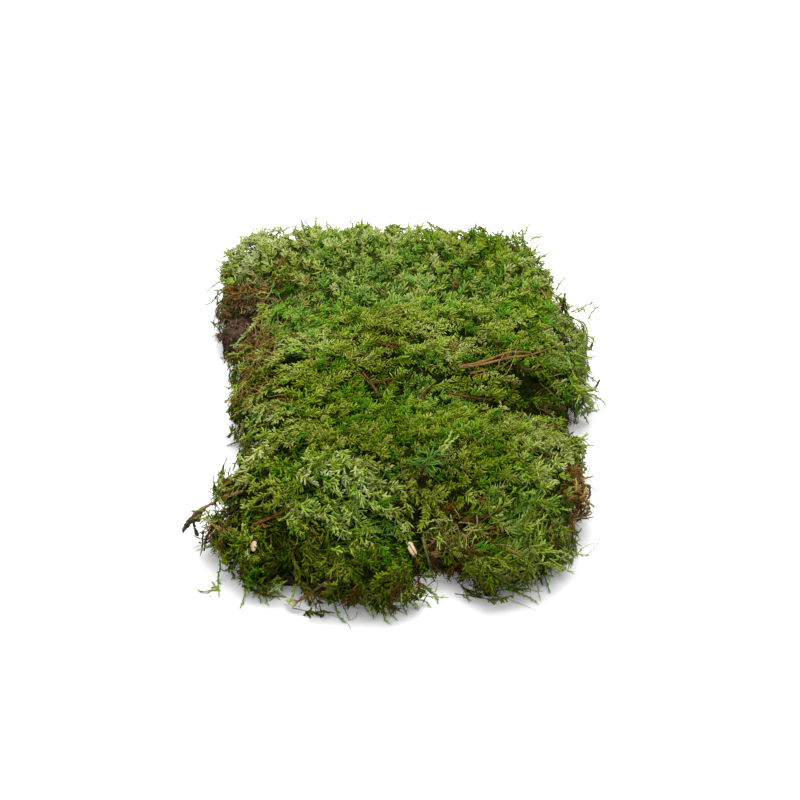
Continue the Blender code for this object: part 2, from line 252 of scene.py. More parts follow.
class Master:
    """A small shape of unit length along +Z, modelled once and copied many times."""

    def __init__(self) -> None:
        """Models the shape as an object, keeps its mesh as arrays, and removes the object."""
        Modeller.deselect()
        self.model()
        bpy.ops.mesh.select_all(action="SELECT")
        bpy.ops.mesh.quads_convert_to_tris(quad_method="SHORTEST_DIAGONAL")
        bpy.ops.object.mode_set(mode="OBJECT")
        mesh = bpy.context.object.data
        self.points = np.array([v.co for v in mesh.vertices], float)
        self.faces = np.array([p.vertices for p in mesh.polygons], int)
        self.along = np.clip(self.points[:, 2] / self.points[:, 2].max(), 0, 1)
        bpy.ops.object.delete()

    def model(self) -> None:
        """Models the shape with operators and leaves it in edit mode."""
        raise NotImplementedError


class RingMaster(Master):
    """A three-sided finger that swells and narrows along its length."""

    ROOT_HEIGHT = 1e-5  # faces below it close the root

    def __init__(self, rings: tuple[Ring, ...], pointed: bool = True) -> None:
        """Models the shape.

        Args:
            rings: From root to tip.
            pointed: Whether the last ring closes to a point.
        """
        self.rings = rings
        self.pointed = pointed
        super().__init__()

    def model(self) -> None:
        """Extrudes a triangle from ring to ring and opens its root."""
        rings = self.rings
        bpy.ops.mesh.primitive_circle_add(vertices=3, radius=rings[0].radius, fill_type="NGON")
        bpy.ops.object.mode_set(mode="EDIT")
        bpy.ops.mesh.select_all(action="SELECT")
        for lower, upper in zip(rings, rings[1:]):
            rise = (0, 0, upper.along - lower.along)
            bpy.ops.mesh.extrude_region_move(TRANSFORM_OT_translate={"value": rise})
            grow = upper.radius / lower.radius
            bpy.ops.transform.resize(value=(grow, grow, 1.0))
            bpy.ops.transform.rotate(value=math.radians(60), orient_axis="Z")
        if self.pointed:
            bpy.ops.mesh.merge(type="CENTER")
        else:
            bpy.ops.mesh.delete(type="ONLY_FACE")
        bpy.ops.mesh.select_all(action="SELECT")
        bpy.ops.mesh.normals_make_consistent(inside=False)
        bpy.ops.mesh.select_mode(type="FACE")
        bpy.ops.object.mode_set(mode="OBJECT")
        for face in bpy.context.object.data.polygons:
            face.select = face.center.z < self.ROOT_HEIGHT
        bpy.ops.object.mode_set(mode="EDIT")
        bpy.ops.mesh.delete(type="ONLY_FACE")
        bpy.ops.mesh.select_mode(type="VERT")


@dataclass(frozen=True)
class Lobe:
    """A shorter finger that leaves a finger's side."""

    start: float  # share of the finger where it leaves
    length: float  # share of the finger's length
    reach: float  # how far its tip stands off, in radii of the finger
    turn: float  # degrees round the finger


class ForkedMaster(RingMaster):
    """A blunt finger with shorter fingers at its sides."""

    LOBE_WIDTH = 0.85

    def __init__(
        self, rings: tuple[Ring, ...], lobe_rings: tuple[Ring, ...], lobes: tuple[Lobe, ...]
    ) -> None:
        """Models the finger and one lobe, and sets copies of the lobe round the finger.

        Args:
            rings: The finger, from root to tip.
            lobe_rings: One lobe, from root to tip.
            lobes: Where its copies stand.
        """
        lobe_master = RingMaster(lobe_rings)
        super().__init__(rings)
        points, faces, along = [self.points], [self.faces], [self.along]
        for lobe in lobes:
            copy = lobe_master.points * (self.LOBE_WIDTH, self.LOBE_WIDTH, lobe.length)
            turn = math.radians(lobe.turn)
            copy[:, 0] += lobe.reach * math.cos(turn) * lobe_master.along
            copy[:, 1] += lobe.reach * math.sin(turn) * lobe_master.along
            copy[:, 2] += lobe.start
            faces.append(lobe_master.faces + sum(len(part) for part in points))
            points.append(copy)
            along.append(np.clip(lobe.start + lobe_master.along * (1 - lobe.start), 0, 1))
        self.points, self.faces = np.concatenate(points), np.concatenate(faces)
        self.along = np.concatenate(along)


@dataclass(frozen=True)
class LeafSizes:
    """Leaves of a shingled branchlet, in units of its radius (width) and length (the rest)."""

    count: int
    width: float
    length: float
    step: float  # along the stem from leaf to leaf
    narrowing: float  # of each leaf against the one below
    core: tuple[tuple[float, float, float, float], ...] = ()  # cones: from, to, radii


class ShingledMaster(Master):
    """A moss branchlet: pointed leaves that overlap in a spiral round a thin stem."""

    LEAF_LEAN = math.radians(45)
    LEAF_TURN = math.radians(137.5)  # from leaf to leaf

    def __init__(self, sizes: LeafSizes) -> None:
        """Models the branchlet to its leaves' sizes."""
        self.sizes = sizes
        super().__init__()

    def model(self) -> None:
        """Models one leaf, then duplicates it up the stem, turned and narrowed each time."""
        sizes, origin = self.sizes, (0, 0, 0)
        bpy.ops.mesh.primitive_circle_add(vertices=4, radius=0.5, fill_type="NGON")
        bpy.ops.object.mode_set(mode="EDIT")
        bpy.ops.mesh.select_all(action="SELECT")
        bpy.ops.transform.rotate(value=math.radians(90), orient_axis="X")
        bpy.ops.transform.translate(value=(0, 0, 0.5))
        bpy.ops.transform.rotate(value=self.LEAF_LEAN, orient_axis="X", center_override=origin)
        shape = (sizes.width, math.sqrt(2), sizes.length * math.sqrt(2))
        bpy.ops.transform.resize(value=shape, center_override=origin)
        if bpy.context.edit_object.data.polygons[0].normal.y < 0:
            bpy.ops.mesh.flip_normals()
        for _ in range(sizes.count - 1):
            bpy.ops.mesh.duplicate()
            bpy.ops.transform.rotate(value=self.LEAF_TURN, orient_axis="Z", center_override=origin)
            bpy.ops.transform.translate(value=(0, 0, sizes.step))
            narrow = (sizes.narrowing, sizes.narrowing, 1.0)
            bpy.ops.transform.resize(value=narrow, center_override=origin)
        for low, high, wide_low, wide_high in sizes.core:
            bpy.ops.mesh.primitive_cone_add(
                vertices=3, radius1=wide_low, radius2=wide_high, depth=high - low,
                location=(0, 0, (low + high) / 2), end_fill_type="NOTHING",
            )


class CrumbMaster(Master):
    """A rough crumb."""

    def model(self) -> None:
        """Pushes the corners of a small sphere about."""
        bpy.ops.mesh.primitive_ico_sphere_add(subdivisions=1, radius=0.5, location=(0, 0, 0.5))
        bpy.ops.object.mode_set(mode="EDIT")
        bpy.ops.mesh.select_all(action="SELECT")
        bpy.ops.transform.vertex_random(offset=0.22, seed=2)


class Shape(Enum):
    """The masters that the moss and its debris are made of."""

    PLUMP = "plump"
    SPROUT = "sprout"
    SPEAR = "spear"
    FORK = "fork"
    WIRE = "wire"
    NEEDLE = "needle"
    STEM = "stem"
    CRUMB = "crumb"


PLUMP, SPROUT, SPEAR, FORK, WIRE, NEEDLE, STEM, CRUMB = Shape


class MasterSet:
    """All masters, by shape."""

    def __init__(self) -> None:
        """Models every master once."""
        self.shapes = {
            PLUMP: RingMaster(
                (Ring(0, 0.6), Ring(0.2, 1.05), Ring(0.48, 0.8), Ring(0.78, 1.0), Ring(1, 0.6))
            ),
            SPROUT: RingMaster((Ring(0, 0.6), Ring(0.70, 1.0), Ring(1, 0.4))),
            SPEAR: ShingledMaster(LeafSizes(8, 0.95, 0.38, 0.09, 0.90, ((0, 0.9, 0.4, 0),))),
            FORK: ForkedMaster(
                (Ring(0, 0.7), Ring(0.32, 1.05), Ring(0.62, 0.8), Ring(0.9, 0.95), Ring(1, 0.6)),
                (Ring(0, 0.7), Ring(0.72, 1.0), Ring(1, 0.5)),
                (Lobe(0.22, 0.46, 3.3, 10), Lobe(0.36, 0.44, 3.2, 170), Lobe(0.55, 0.38, 2.6, 265)),
            ),
            WIRE: RingMaster((Ring(0, 1.0), Ring(0.5, 0.8), Ring(1, 0.2))),
            NEEDLE: RingMaster(
                (Ring(0, 0.7), Ring(0.25, 1.0), Ring(0.75, 0.9), Ring(1, 0.3))
            ),
            STEM: RingMaster((Ring(0, 1.0), Ring(0.5, 0.9), Ring(1, 0.6)), pointed=False),
            CRUMB: CrumbMaster(),
        }

    def __getitem__(self, shape: Shape) -> Master:
        """The master of a shape."""
        return self.shapes[shape]


# ---- copies of the masters
@dataclass
class Copies:
    """Places of many copies of one master, one row each."""

    shape: Shape
    root: Array  # where the copy starts
    heading: Array  # unit vector along it
    bow: Array  # unit vector that it bends towards
    length: Array
    radius: Array
    bend: Array  # sideways move of the tip, as a share of the length
    tone: Array  # place on the palette, 0 to 1
    low: Array  # place on the root to tip ramp at the root, 0 to 1: the share along the shoot, scaled by painted light and shade
    high: Array  # the same at the tip

    def __len__(self) -> int:
        """How many copies there are."""
        return len(self.root)

    def pick(self, rows: Array) -> "Copies":
        """Takes some of the copies.

        Args:
            rows: Their row numbers, or a mask.

        Returns:
            These copies only.
        """
        values = {name: value[rows] for name, value in vars(self).items() if name != "shape"}
        return Copies(shape=self.shape, **values)


class JoinedCopies:
    """Joins copies of the masters into one mesh object."""

    HEIGHTS = (0.0004, 0.0762)  # between the floor and the top of the room for detail
    UV_ROOM = (0.004, 0.996)  # inside the map's border

    def __init__(self, name: str, masters: MasterSet, seed: int) -> None:
        """Starts with an empty mesh.

        Args:
            name: The object's name.
            masters: The shapes to copy.
            seed: Picks how the copies are rolled about their own axes.
        """
        self.name = name
        self.masters = masters
        self.rng = np.random.default_rng(seed)
        self.points: list[Array] = []
        self.faces: list[Array] = []
        self.uvs: list[Array] = []
        self.count = 0

    def add(self, copies: Copies) -> None:
        """Adds copies to the mesh.

        Args:
            copies: The copies of one master, bent and rolled as they are laid.
        """
        if not len(copies):
            return
        master = self.masters[copies.shape]
        number, size = len(copies), len(master.points)
        roll = self.rng.uniform(0, FULL_TURN, number)
        cos, sin = np.cos(roll)[:, None], np.sin(roll)[:, None]
        x, y, z = master.points.T
        radius, length = copies.radius[:, None], copies.length[:, None]
        local_x = (x * cos - y * sin) * radius + copies.bend[:, None] * length * z**2
        local_y = (x * sin + y * cos) * radius
        local_z = z[None, :] * length
        along = copies.heading
        towards = across(copies.bow, along)
        side = np.cross(along, towards)
        places = copies.root[:, None, :] + (
            local_x[..., None] * towards[:, None, :]
            + local_y[..., None] * side[:, None, :]
            + local_z[..., None] * along[:, None, :]
        )
        places[..., 2] = np.clip(places[..., 2], *self.HEIGHTS)
        # UV y: the root to tip run, which carries the painted light and shade
        share = copies.low[:, None] + (copies.high - copies.low)[:, None] * master.along[None, :]
        tone = np.repeat(copies.tone[:, None], size, axis=1)
        starts = self.count + size * np.arange(number)
        self.points.append(places.reshape(-1, 3))
        self.uvs.append(np.stack([tone, share], -1).reshape(-1, 2))
        self.faces.append((master.faces[None] + starts[:, None, None]).reshape(-1, 3))
        self.count += number * size

    def build(self, material: Material) -> Piece:
        """Makes the object, shaded smooth.

        Args:
            material: Its only material.

        Returns:
            The new object, at the origin.
        """
        points = np.concatenate(self.points)
        faces = np.concatenate(self.faces)
        uvs = np.clip(np.concatenate(self.uvs), *self.UV_ROOM)
        mesh = bpy.data.meshes.new(self.name)
        mesh.vertices.add(len(points))
        mesh.vertices.foreach_set("co", points.astype(np.float32).ravel())
        mesh.loops.add(faces.size)
        mesh.loops.foreach_set("vertex_index", faces.astype(np.int32).ravel())
        mesh.polygons.add(len(faces))
        mesh.polygons.foreach_set("loop_start", np.arange(0, faces.size, 3, dtype=np.int32))
        mesh.update(calc_edges=True)
        layer = mesh.uv_layers.new(name=UV_MAP)
        layer.uv.foreach_set("vector", uvs[faces.ravel()].astype(np.float32).ravel())
        mesh.polygons.foreach_set("use_smooth", np.ones(len(faces), bool))
        mesh.materials.append(material)
        mesh.validate()
        obj = bpy.data.objects.new(self.name, mesh)
        bpy.context.scene.collection.objects.link(obj)
        LOG.info("%s: %d triangles", self.name, len(faces))
        return obj


# ---- what grows where
@dataclass(frozen=True)
class Patch:
    """How the moss grows round one place; lengths in millimetres, shares in per cent."""

    x: int
    y: int
    reach: int
    tone: int  # palette place: 0 dead brown, 30 dark, 60 mid green, 100 straw green
    lift: int  # 0 combed flat, 100 upright
    heading: int  # degrees: 0 right, 90 rear, -90 front
    shoot: int = 53  # length of a branchlet, in tenths of a millimetre
    stalk: int = 15  # length of a whole shoot
    dead: int = 0  # share of dead brown shoots
    spear: int = 0  # share of slender pointed shoots
    right: int = 0  # how far the tips stand beyond the solid, to the right
    rear: int = 0  # the same to the rear
    up: int = 0  # and upwards
    shade: int = 100  # painted light and shade of the shoots, with some of their own lighter or darker tone: how light they are against their usual root to tip run

    @property
    def open(self) -> float:
        """Painted light and shade of the undergrowth: light at the rear, dark at the low front."""
        return 0.56 + 2.0 * min(max(self.y / 1000 + 0.02, -0.12), 0.14)


PATCHES = (
    # rear ridge, from left to right
    Patch(-114, 165, 26, 95, 75, 130, 50, 12, up=9, shade=137),
    Patch(-75, 167, 30, 99, 80, 100, 50, 12, up=6, shade=80),
    Patch(-37, 160, 30, 70, 80, 90, 50, 12, up=4, shade=105),
    Patch(0, 157, 30, 76, 80, 90, 50, 12, dead=5, up=2, shade=101),
    Patch(37, 157, 30, 83, 80, 90, 50, 12, dead=5, up=3, shade=52),
    Patch(75, 161, 30, 62, 75, 70, 50, 12, up=4, shade=45),
    Patch(102, 150, 26, 91, 65, 45, 55, 14, up=6, shade=110),
    Patch(112, 172, 18, 72, 70, 45, 55, 14, right=-3, up=3),
    Patch(-80, 200, 30, 97, 40, 100, up=6, shade=66),
    Patch(10, 205, 40, 95, 40, 90, up=3, shade=60),
    Patch(80, 200, 30, 62, 40, 80, up=4, shade=47),
    # valley in front of it, and the torn dead edge on its left
    Patch(-81, 133, 22, 99, 55, 200, 50, dead=37, shade=47),
    Patch(-45, 130, 25, 62, 55, 70, shade=160),
    Patch(0, 124, 30, 62, 50, 60, shade=160),
    Patch(52, 123, 30, 52, 50, 50, dead=6, shade=126),
    Patch(95, 107, 26, 64, 50, 40, shade=81),
    Patch(120, 115, 14, 77, 45, 30, right=-6, shade=46),
    Patch(-117, 118, 19, 10, 40, 190, 60, dead=95, shade=161),
    Patch(-130, 150, 12, 80, 50, 170, right=5),
    # middle hump
    Patch(-60, 105, 26, 47, 50, 30, 52, shade=122),
    Patch(-45, 108, 15, 33, 50, 30, 52, shade=45),
    Patch(-28, 85, 26, 65, 40, 15, 54, 16, shade=77),
    Patch(-28, 63, 24, 67, 14, 5, 52, 19, shade=94),
    Patch(2, 80, 26, 98, 25, 5, 50, 17, shade=45),
    Patch(0, 50, 24, 98, 10, 0, 50, 20, dead=5, shade=67),
    Patch(35, 56, 26, 84, 14, -5, 50, 20, dead=4, shade=119),
    Patch(40, 85, 26, 59, 35, 20, dead=4, shade=112),
    Patch(77, 54, 26, 74, 25, -15, 50, 18, shade=80),
    Patch(80, 85, 26, 52, 40, 10, shade=83),
    Patch(110, 75, 22, 59, 35, 0, right=-3, shade=77),
    Patch(134, 71, 22, 99, 40, 0, 50, 20, spear=40, right=-9, shade=159),
    Patch(134, 45, 18, 84, 40, 0, 50, 20, spear=40, right=-7, shade=152),
    Patch(18, 68, 12, 60, 25, 5, 50, 17, shade=59),
    Patch(90, 70, 14, 47, 35, 0, shade=160),
    # left shoulder
    Patch(-98, 60, 20, 88, 40, 190, dead=45, shade=88),
    Patch(-70, 50, 22, 59, 40, 150, shade=160),
    Patch(-75, 15, 24, 71, 40, 175, dead=5, shade=62),
    Patch(-104, 18, 18, 96, 35, 180, 65, dead=10, right=3, shade=45),
    Patch(-48, 27, 24, 78, 35, 0, shade=59),
    Patch(-105, -20, 22, 80, 40, 185, dead=18, right=1, shade=142),
    Patch(-114, -60, 14, 66, 40, 190, dead=10, right=6),
    # valley behind the plateau, and the crevice on the right
    Patch(-37, -17, 24, 67, 50, 0, dead=5, shade=61),
    Patch(-6, 6, 22, 47, 50, 20, shade=81),
    Patch(25, 30, 20, 36, 25, 0, 50, 18, shade=160),
    Patch(60, 14, 22, 81, 35, 0, shade=84),
    Patch(96, 26, 18, 72, 30, -30, shade=104),
    Patch(108, 4, 16, 33, 30, -20, dead=45, shade=142),
    Patch(30, 14, 13, 76, 45, 0, shade=160),
    Patch(-28, -2, 12, 78, 50, 0, shade=45),
    # front plateau
    Patch(-70, -50, 26, 85, 50, 200, shade=57),
    Patch(-38, -60, 26, 77, 75, 0, 48, 13, shade=45),
    Patch(0, -50, 28, 66, 88, 0, 44, 12, shade=45),
    Patch(46, -29, 28, 63, 92, 0, 42, 12, shade=73),
    Patch(92, -34, 28, 86, 92, 0, 42, 12, shade=69),
    Patch(19, -77, 22, 83, 80, 0, 46, 13, dead=4, shade=58),
    Patch(63, -78, 24, 68, 85, 0, 46, 13, shade=47),
    Patch(104, -62, 20, 96, 65, 0, 55, 16, dead=6, shade=110),
    Patch(119, -86, 12, 15, 35, -10, dead=92, shade=145),
    # front lips, and the brown dip between them
    Patch(-104, -88, 22, 78, 40, 200, 70, 17, dead=10, right=-5, shade=110),
    Patch(-112, -74, 13, 81, 35, 190, 60, right=4, up=-5, shade=110),
    Patch(-124, -104, 13, 65, 30, 190, 65, 17, dead=30, right=-10, shade=45),
    Patch(-74, -100, 24, 78, 42, -150, 70, 17, shade=45),
    Patch(-43, -105, 24, 62, 48, -35, 74, 19, spear=20, shade=168),
    Patch(-46, -119, 18, 60, 48, -35, 74, 19, spear=20, shade=170),
    Patch(-16, -105, 20, 63, 45, -55, 74, 19, spear=20, shade=170),
    Patch(18, -103, 18, 99, 35, -80, 60, 16, dead=32, spear=10, shade=30),
    Patch(43, -118, 18, 96, 35, -60, 60, 17, dead=48, spear=50, rear=-4, shade=37),
    Patch(74, -109, 22, 59, 55, 25, 74, 21, spear=60, shade=130),
    Patch(90, -127, 22, 86, 45, 10, 74, 22, spear=70, shade=120),
    Patch(-110, -125, 20, 69, 30, -140, 70, 18, dead=15, right=3, rear=3, shade=110),
    Patch(-112, -110, 9, 22, 30, 200, 60, dead=70, shade=40),
    Patch(-79, -138, 22, 68, 30, -105, 74, 19, shade=30),
    Patch(-40, -150, 22, 70, 30, -80, 74, 19, rear=-4, shade=48),
    Patch(-53, -153, 10, 94, 30, -90, 74, 18, dead=21, rear=4, shade=53),
    Patch(-16, -154, 18, 74, 30, -80, 74, 19, rear=-8, shade=39),
    Patch(16, -130, 15, 45, 30, -80, dead=50, rear=-6, shade=130),
    Patch(61, -146, 20, 75, 30, -50, 65, 18, dead=30, spear=60, rear=-9, shade=73),
)


@dataclass(frozen=True)
class Crevice:
    """A slit between combed shoots, where none reaches the surface and the shoots get painted
    shade; in millimetres.
    """

    start: tuple[float, float]
    end: tuple[float, float]
    half_width: float
    depth: float


CREVICES = (
    Crevice((-36, 66), (-18, 68), 3.0, 6),
    Crevice((-14, 47), (12, 45), 2.8, 5),
    Crevice((34, 55), (50, 54), 3.0, 5),
    Crevice((60, 40), (76, 39), 2.8, 5),
    Crevice((-64, 36), (-56, 32), 4.0, 7),
    Crevice((-36, -30), (-28, -34), 4.0, 7),
    Crevice((64, 4), (98, 4), 5.2, 10),
    Crevice((-94, -118), (-72, -128), 7.0, 13),
    Crevice((-84, -130), (-70, -142), 8.0, 13),
    Crevice((-62, -140), (-34, -147), 5.5, 10),
    Crevice((-50, -134), (-30, -137), 7.5, 13),
    Crevice((-112, -104), (-100, -110), 4.0, 7),
    Crevice((90, 14), (112, 18), 7.0, 13),
    Crevice((10, -68), (16, -72), 4.0, 5),
    Crevice((4, -136), (10, -124), 5.0, 8),
    Crevice((-92, -135), (-88, -128), 4.0, 6),
    Crevice((84, 36), (112, 43), 3.0, 3),
)


class Habitat:
    """Reads how the moss grows at any place from the patches and crevices."""

    UNITS = {  # of the blended values: how many go in one, or in a metre
        "tone": 100, "lift": 100, "shoot": 10000, "stalk": 1000, "dead": 100, "spear": 100,
        "open": 1, "shade": 100, "right": 1000, "rear": 1000, "up": 1000,
    }
    BLUR = 0.8  # of a patch's reach, where its weight has fallen to a third
    FAR_WEIGHT, FAR_GAP = 1e-9, 0.01  # so that the nearest patch decides where none reaches
    DEBRIS_STEP = 0.0015  # between the places kept along a needle or twig
    DEBRIS_ROOM = 0.0022  # how far the shoots stay under a needle or twig, which also gives them a painted shadow there
    DEBRIS_REACH = 0.0034
    DEBRIS_CLEAR = 0.0013  # room between a branchlet and the air over a needle or twig
    DEBRIS_AIR = (0.0, 0.0016, 0.0032, 0.0048, 0.0064)  # how far that air goes
    AIR_RUN = Vector((0.0, -0.766, 0.643))  # where the light comes in over the debris

    def __init__(self, patches: tuple[Patch, ...], crevices: tuple[Crevice, ...]) -> None:
        """Gathers the patches as arrays and maps the debris.

        Args:
            patches: How the moss grows.
            crevices: Where it leaves slits.
        """
        self.places = np.array([(p.x, p.y) for p in patches]) / 1000
        self.reach = np.array([p.reach for p in patches]) / 1000
        self.values = {
            name: np.array([getattr(p, name) for p in patches]) / count
            for name, count in self.UNITS.items()
        }
        angles = np.radians([p.heading for p in patches])
        self.headings = np.stack([np.cos(angles), np.sin(angles)], -1)
        self.crevices = crevices
        places = self.debris_places()
        self.debris = search_tree(places)
        self.air = search_tree(
            [place + self.AIR_RUN * far for place in places for far in self.DEBRIS_AIR]
        )

    @staticmethod
    def debris_places() -> list[Vector]:
        """Spreads places over the debris.

        Returns:
            Places along the edges of every needle, twig and scrap of the frame.
        """
        places = []
        for part in frame["record"]["subparts"]:
            if part["material_slot"] in ("moss", "humus"):
                continue
            mesh = frame["nodes"][part["node"]].data
            for edge in mesh.edges:
                start, end = (mesh.vertices[i].co for i in edge.vertices)
                steps = 1 + int((end - start).length / Habitat.DEBRIS_STEP)
                places += [start.lerp(end, step / steps) for step in range(steps)]
        return places

    def read(self, places: Array) -> dict[str, Array]:
        """Blends the patches at each place.

        Args:
            places: Rows of x, y, z.

        Returns:
            One array for each growth value, and "heading" with rows of x, y.
        """
        gap = np.linalg.norm(places[:, None, :2] - self.places[None], axis=-1)
        weight = np.exp(-((gap / (self.BLUR * self.reach)) ** 2))
        weight += self.FAR_WEIGHT / (gap + self.FAR_GAP)
        weight /= weight.sum(axis=1, keepdims=True)
        found = {name: weight @ values for name, values in self.values.items()}
        found["heading"] = weight @ self.headings
        return found

    def clear(self, copies: Copies) -> Array:
        """Tells which copies stay out of the air over the debris.

        Args:
            copies: The copies to test, at their middle and their tip.

        Returns:
            A mask of those that stay clear.
        """
        kept = np.ones(len(copies), bool)
        for share in (0.55, 1.0):
            places = copies.root + copies.heading * (share * copies.length)[:, None]
            for row in np.flatnonzero(kept):
                kept[row] = self.air.find(Vector(places[row]))[2] > self.DEBRIS_CLEAR
        return kept

    def sunk(self, places: Array) -> Array:
        """Lowers the shoots in crevices and under debris.

        Args:
            places: Rows of x, y, z.

        Returns:
            How far under the surface the shoots stop at each place.
        """
        depth = np.zeros(len(places))
        for crevice in self.crevices:
            start, end = np.array(crevice.start) / 1000, np.array(crevice.end) / 1000
            run = end - start
            share = np.clip((places[:, :2] - start) @ run / (run @ run), 0, 1)
            gap = np.linalg.norm(places[:, :2] - start - share[:, None] * run, axis=1)
            slit = np.exp(-((gap / (crevice.half_width / 1000)) ** 4))
            depth = np.maximum(depth, crevice.depth / 1000 * slit)
        near = np.array([self.debris.find(Vector(place))[2] for place in places])
        return np.maximum(depth, self.DEBRIS_ROOM * np.exp(-((near / self.DEBRIS_REACH) ** 2)))


# ---- the carpet's surface
@dataclass
class Spots:
    """Evenly spread places on the moss solid, with smoothed outward directions."""

    place: Array
    normal: Array


class CarpetSurface:
    """Finds places on the outside of the frame's moss solid."""

    HUMUS_CLEAR = 0.0016
    SMOOTHED_OVER = 0.009
    LOWEST_FACING = -0.55  # upward part of the normal of the lowest faces that carry shoots
    SPACED_FOR = 0.006  # branchlets that a layer's spacing is given for
    EVEN_UP_TO = 0.0052  # spacing grows little for branchlets longer than this
    REAR_WALL = (0.178, 0.010, 0.35)  # where it starts, over what depth, how much sparser

    def __init__(self, seed: int) -> None:
        """Reads the faces of the solids.

        Args:
            seed: Picks the random places.
        """
        self.rng = np.random.default_rng(seed)
        mesh = frame["nodes"]["moss_carpet"].data
        mesh.calc_loop_triangles()
        points = np.array([v.co for v in mesh.vertices], float)
        corners = points[np.array([t.vertices for t in mesh.loop_triangles], int)]
        cross = np.cross(corners[:, 1] - corners[:, 0], corners[:, 2] - corners[:, 0])
        self.area = np.linalg.norm(cross, axis=1) / 2
        self.corners = corners
        self.normals = unit(cross)
        humus = frame["nodes"]["humus_base"].data
        self.humus = BVHTree.FromPolygons(
            [v.co for v in humus.vertices], [p.vertices for p in humus.polygons]
        )

    def candidates(self, number: int) -> tuple[Array, Array]:
        """Picks random places on the outside.

        Args:
            number: How many to try.

        Returns:
            The places and their face normals.
        """
        rows = self.rng.choice(len(self.area), number, p=self.area / self.area.sum())
        a, b = self.rng.random((2, number))
        flip = a + b > 1
        a[flip], b[flip] = 1 - a[flip], 1 - b[flip]
        first, second, third = (self.corners[rows, k] for k in range(3))
        place = first + a[:, None] * (second - first) + b[:, None] * (third - first)
        normal = self.normals[rows]
        outside = normal[:, 2] > self.LOWEST_FACING
        for i in np.flatnonzero(outside):
            gap = self.humus.find_nearest(Vector(place[i]))[3]
            outside[i] = gap is None or gap > self.HUMUS_CLEAR
        return place[outside], normal[outside]

    def spots(self, habitat: Habitat, sizes: "LayerSizes") -> Spots:
        """Places far enough apart for the shoots that grow there.

        Args:
            habitat: Tells how large the shoots are.
            sizes: Spacing of the layer.

        Returns:
            The places kept, each with a normal averaged over its surroundings.
        """
        place, normal = self.candidates(sizes.tries)
        shoot = habitat.read(place)["shoot"]
        longer = self.EVEN_UP_TO + 0.25 * (shoot - self.EVEN_UP_TO)
        spacing = sizes.spacing * np.minimum(shoot, longer) / self.SPACED_FOR
        wall_from, wall_depth, sparser = self.REAR_WALL
        spacing *= 1 + sparser * np.clip((place[:, 1] - wall_from) / wall_depth, 0, 1)
        cell = spacing.max()
        cells: dict[tuple[int, int, int], list[int]] = {}
        kept: list[int] = []
        keys = np.floor(place / cell).astype(int)
        for i, (key, point) in enumerate(zip(keys, place)):
            near = [
                j
                for dx in (-1, 0, 1)
                for dy in (-1, 0, 1)
                for dz in (-1, 0, 1)
                for j in cells.get((key[0] + dx, key[1] + dy, key[2] + dz), ())
            ]
            if near and np.min(np.sum((place[near] - point) ** 2, axis=1)) < spacing[i] ** 2:
                continue
            cells.setdefault(tuple(key), []).append(i)
            kept.append(i)
        tree = search_tree(place)
        smooth = np.empty((len(kept), 3))
        for row, i in enumerate(kept):
            found = tree.find_range(Vector(place[i]), self.SMOOTHED_OVER)
            smooth[row] = normal[[index for _, index, _ in found]].sum(axis=0)
        return Spots(place[kept], unit(smooth))


# ---- shoots of moss
@dataclass(frozen=True)
class LayerSizes:
    """One layer of shoots over the whole carpet."""

    branchlets: int
    spacing: float  # between shoots, where branchlets are 6 mm long
    tries: int  # random places tried for it
    depth: float  # how far its tips end under the surface
    uneven: float  # by how much that differs
    gap_depth: float  # of the winding gaps between tufts
    leading: bool  # young growth in the open, with stems
    thick_from: float  # branchlets longer than this are thick fingers, and fewer
    low_spread: float = math.radians(74)  # angle between stem and lowest branchlets
    top_spread: float = math.radians(36)
    arch: float = math.radians(38)  # how far a stem bends over along its length
    flat_spread: float = math.radians(52)  # between stem and branchlets of feathery shoots
    tufted_from: float = math.radians(62)  # stems lifted so far have branchlets near the end
    stem_radius: float = 0.00034
    stem_tone: float = 0.22  # that living stems run towards
    tone_spread: float = 0.13
    glints: float = 0.14  # share of branchlets whose tip is a painted glint, the palest
    soft_rear: tuple[float, float] = (0.08, 0.06)  # painted light and shade are flatter from here, over this depth


LEADING = LayerSizes(
    branchlets=18, spacing=0.0060, tries=80000, depth=-0.0004, uneven=0.0010, gap_depth=0.0036,
    leading=True, thick_from=0.0064,
)
UNDERGROWTH = LayerSizes(
    branchlets=7, spacing=0.0052, tries=90000, depth=0.0032, uneven=0.0009, gap_depth=0.0020,
    leading=False, thick_from=1.0,
)


@dataclass
class ShootAxes:
    """Stems of many shoots, one row each."""

    root: Array
    start: Array  # direction at the root
    finish: Array  # direction at the end
    length: Array
    side: Array
    lift: Array
    flat: Array  # whether branchlets stand in one plane
    tone: Array
    shade: Array  # painted light and shade: about 1 in the open, less where the surface faces down and where shoots lie deep, low, in crevices or by debris
    shoot: Array
    dead: Array
    spear: Array

    def at(self, share: Array) -> Array:
        """Finds places along the curved stems.

        Args:
            share: How far along each stem, 0 to 1.

        Returns:
            One place for each stem.
        """
        share = share[:, None]
        run = self.start * share + (self.finish - self.start) * share**2 / 2
        return self.root + run * self.length[:, None]


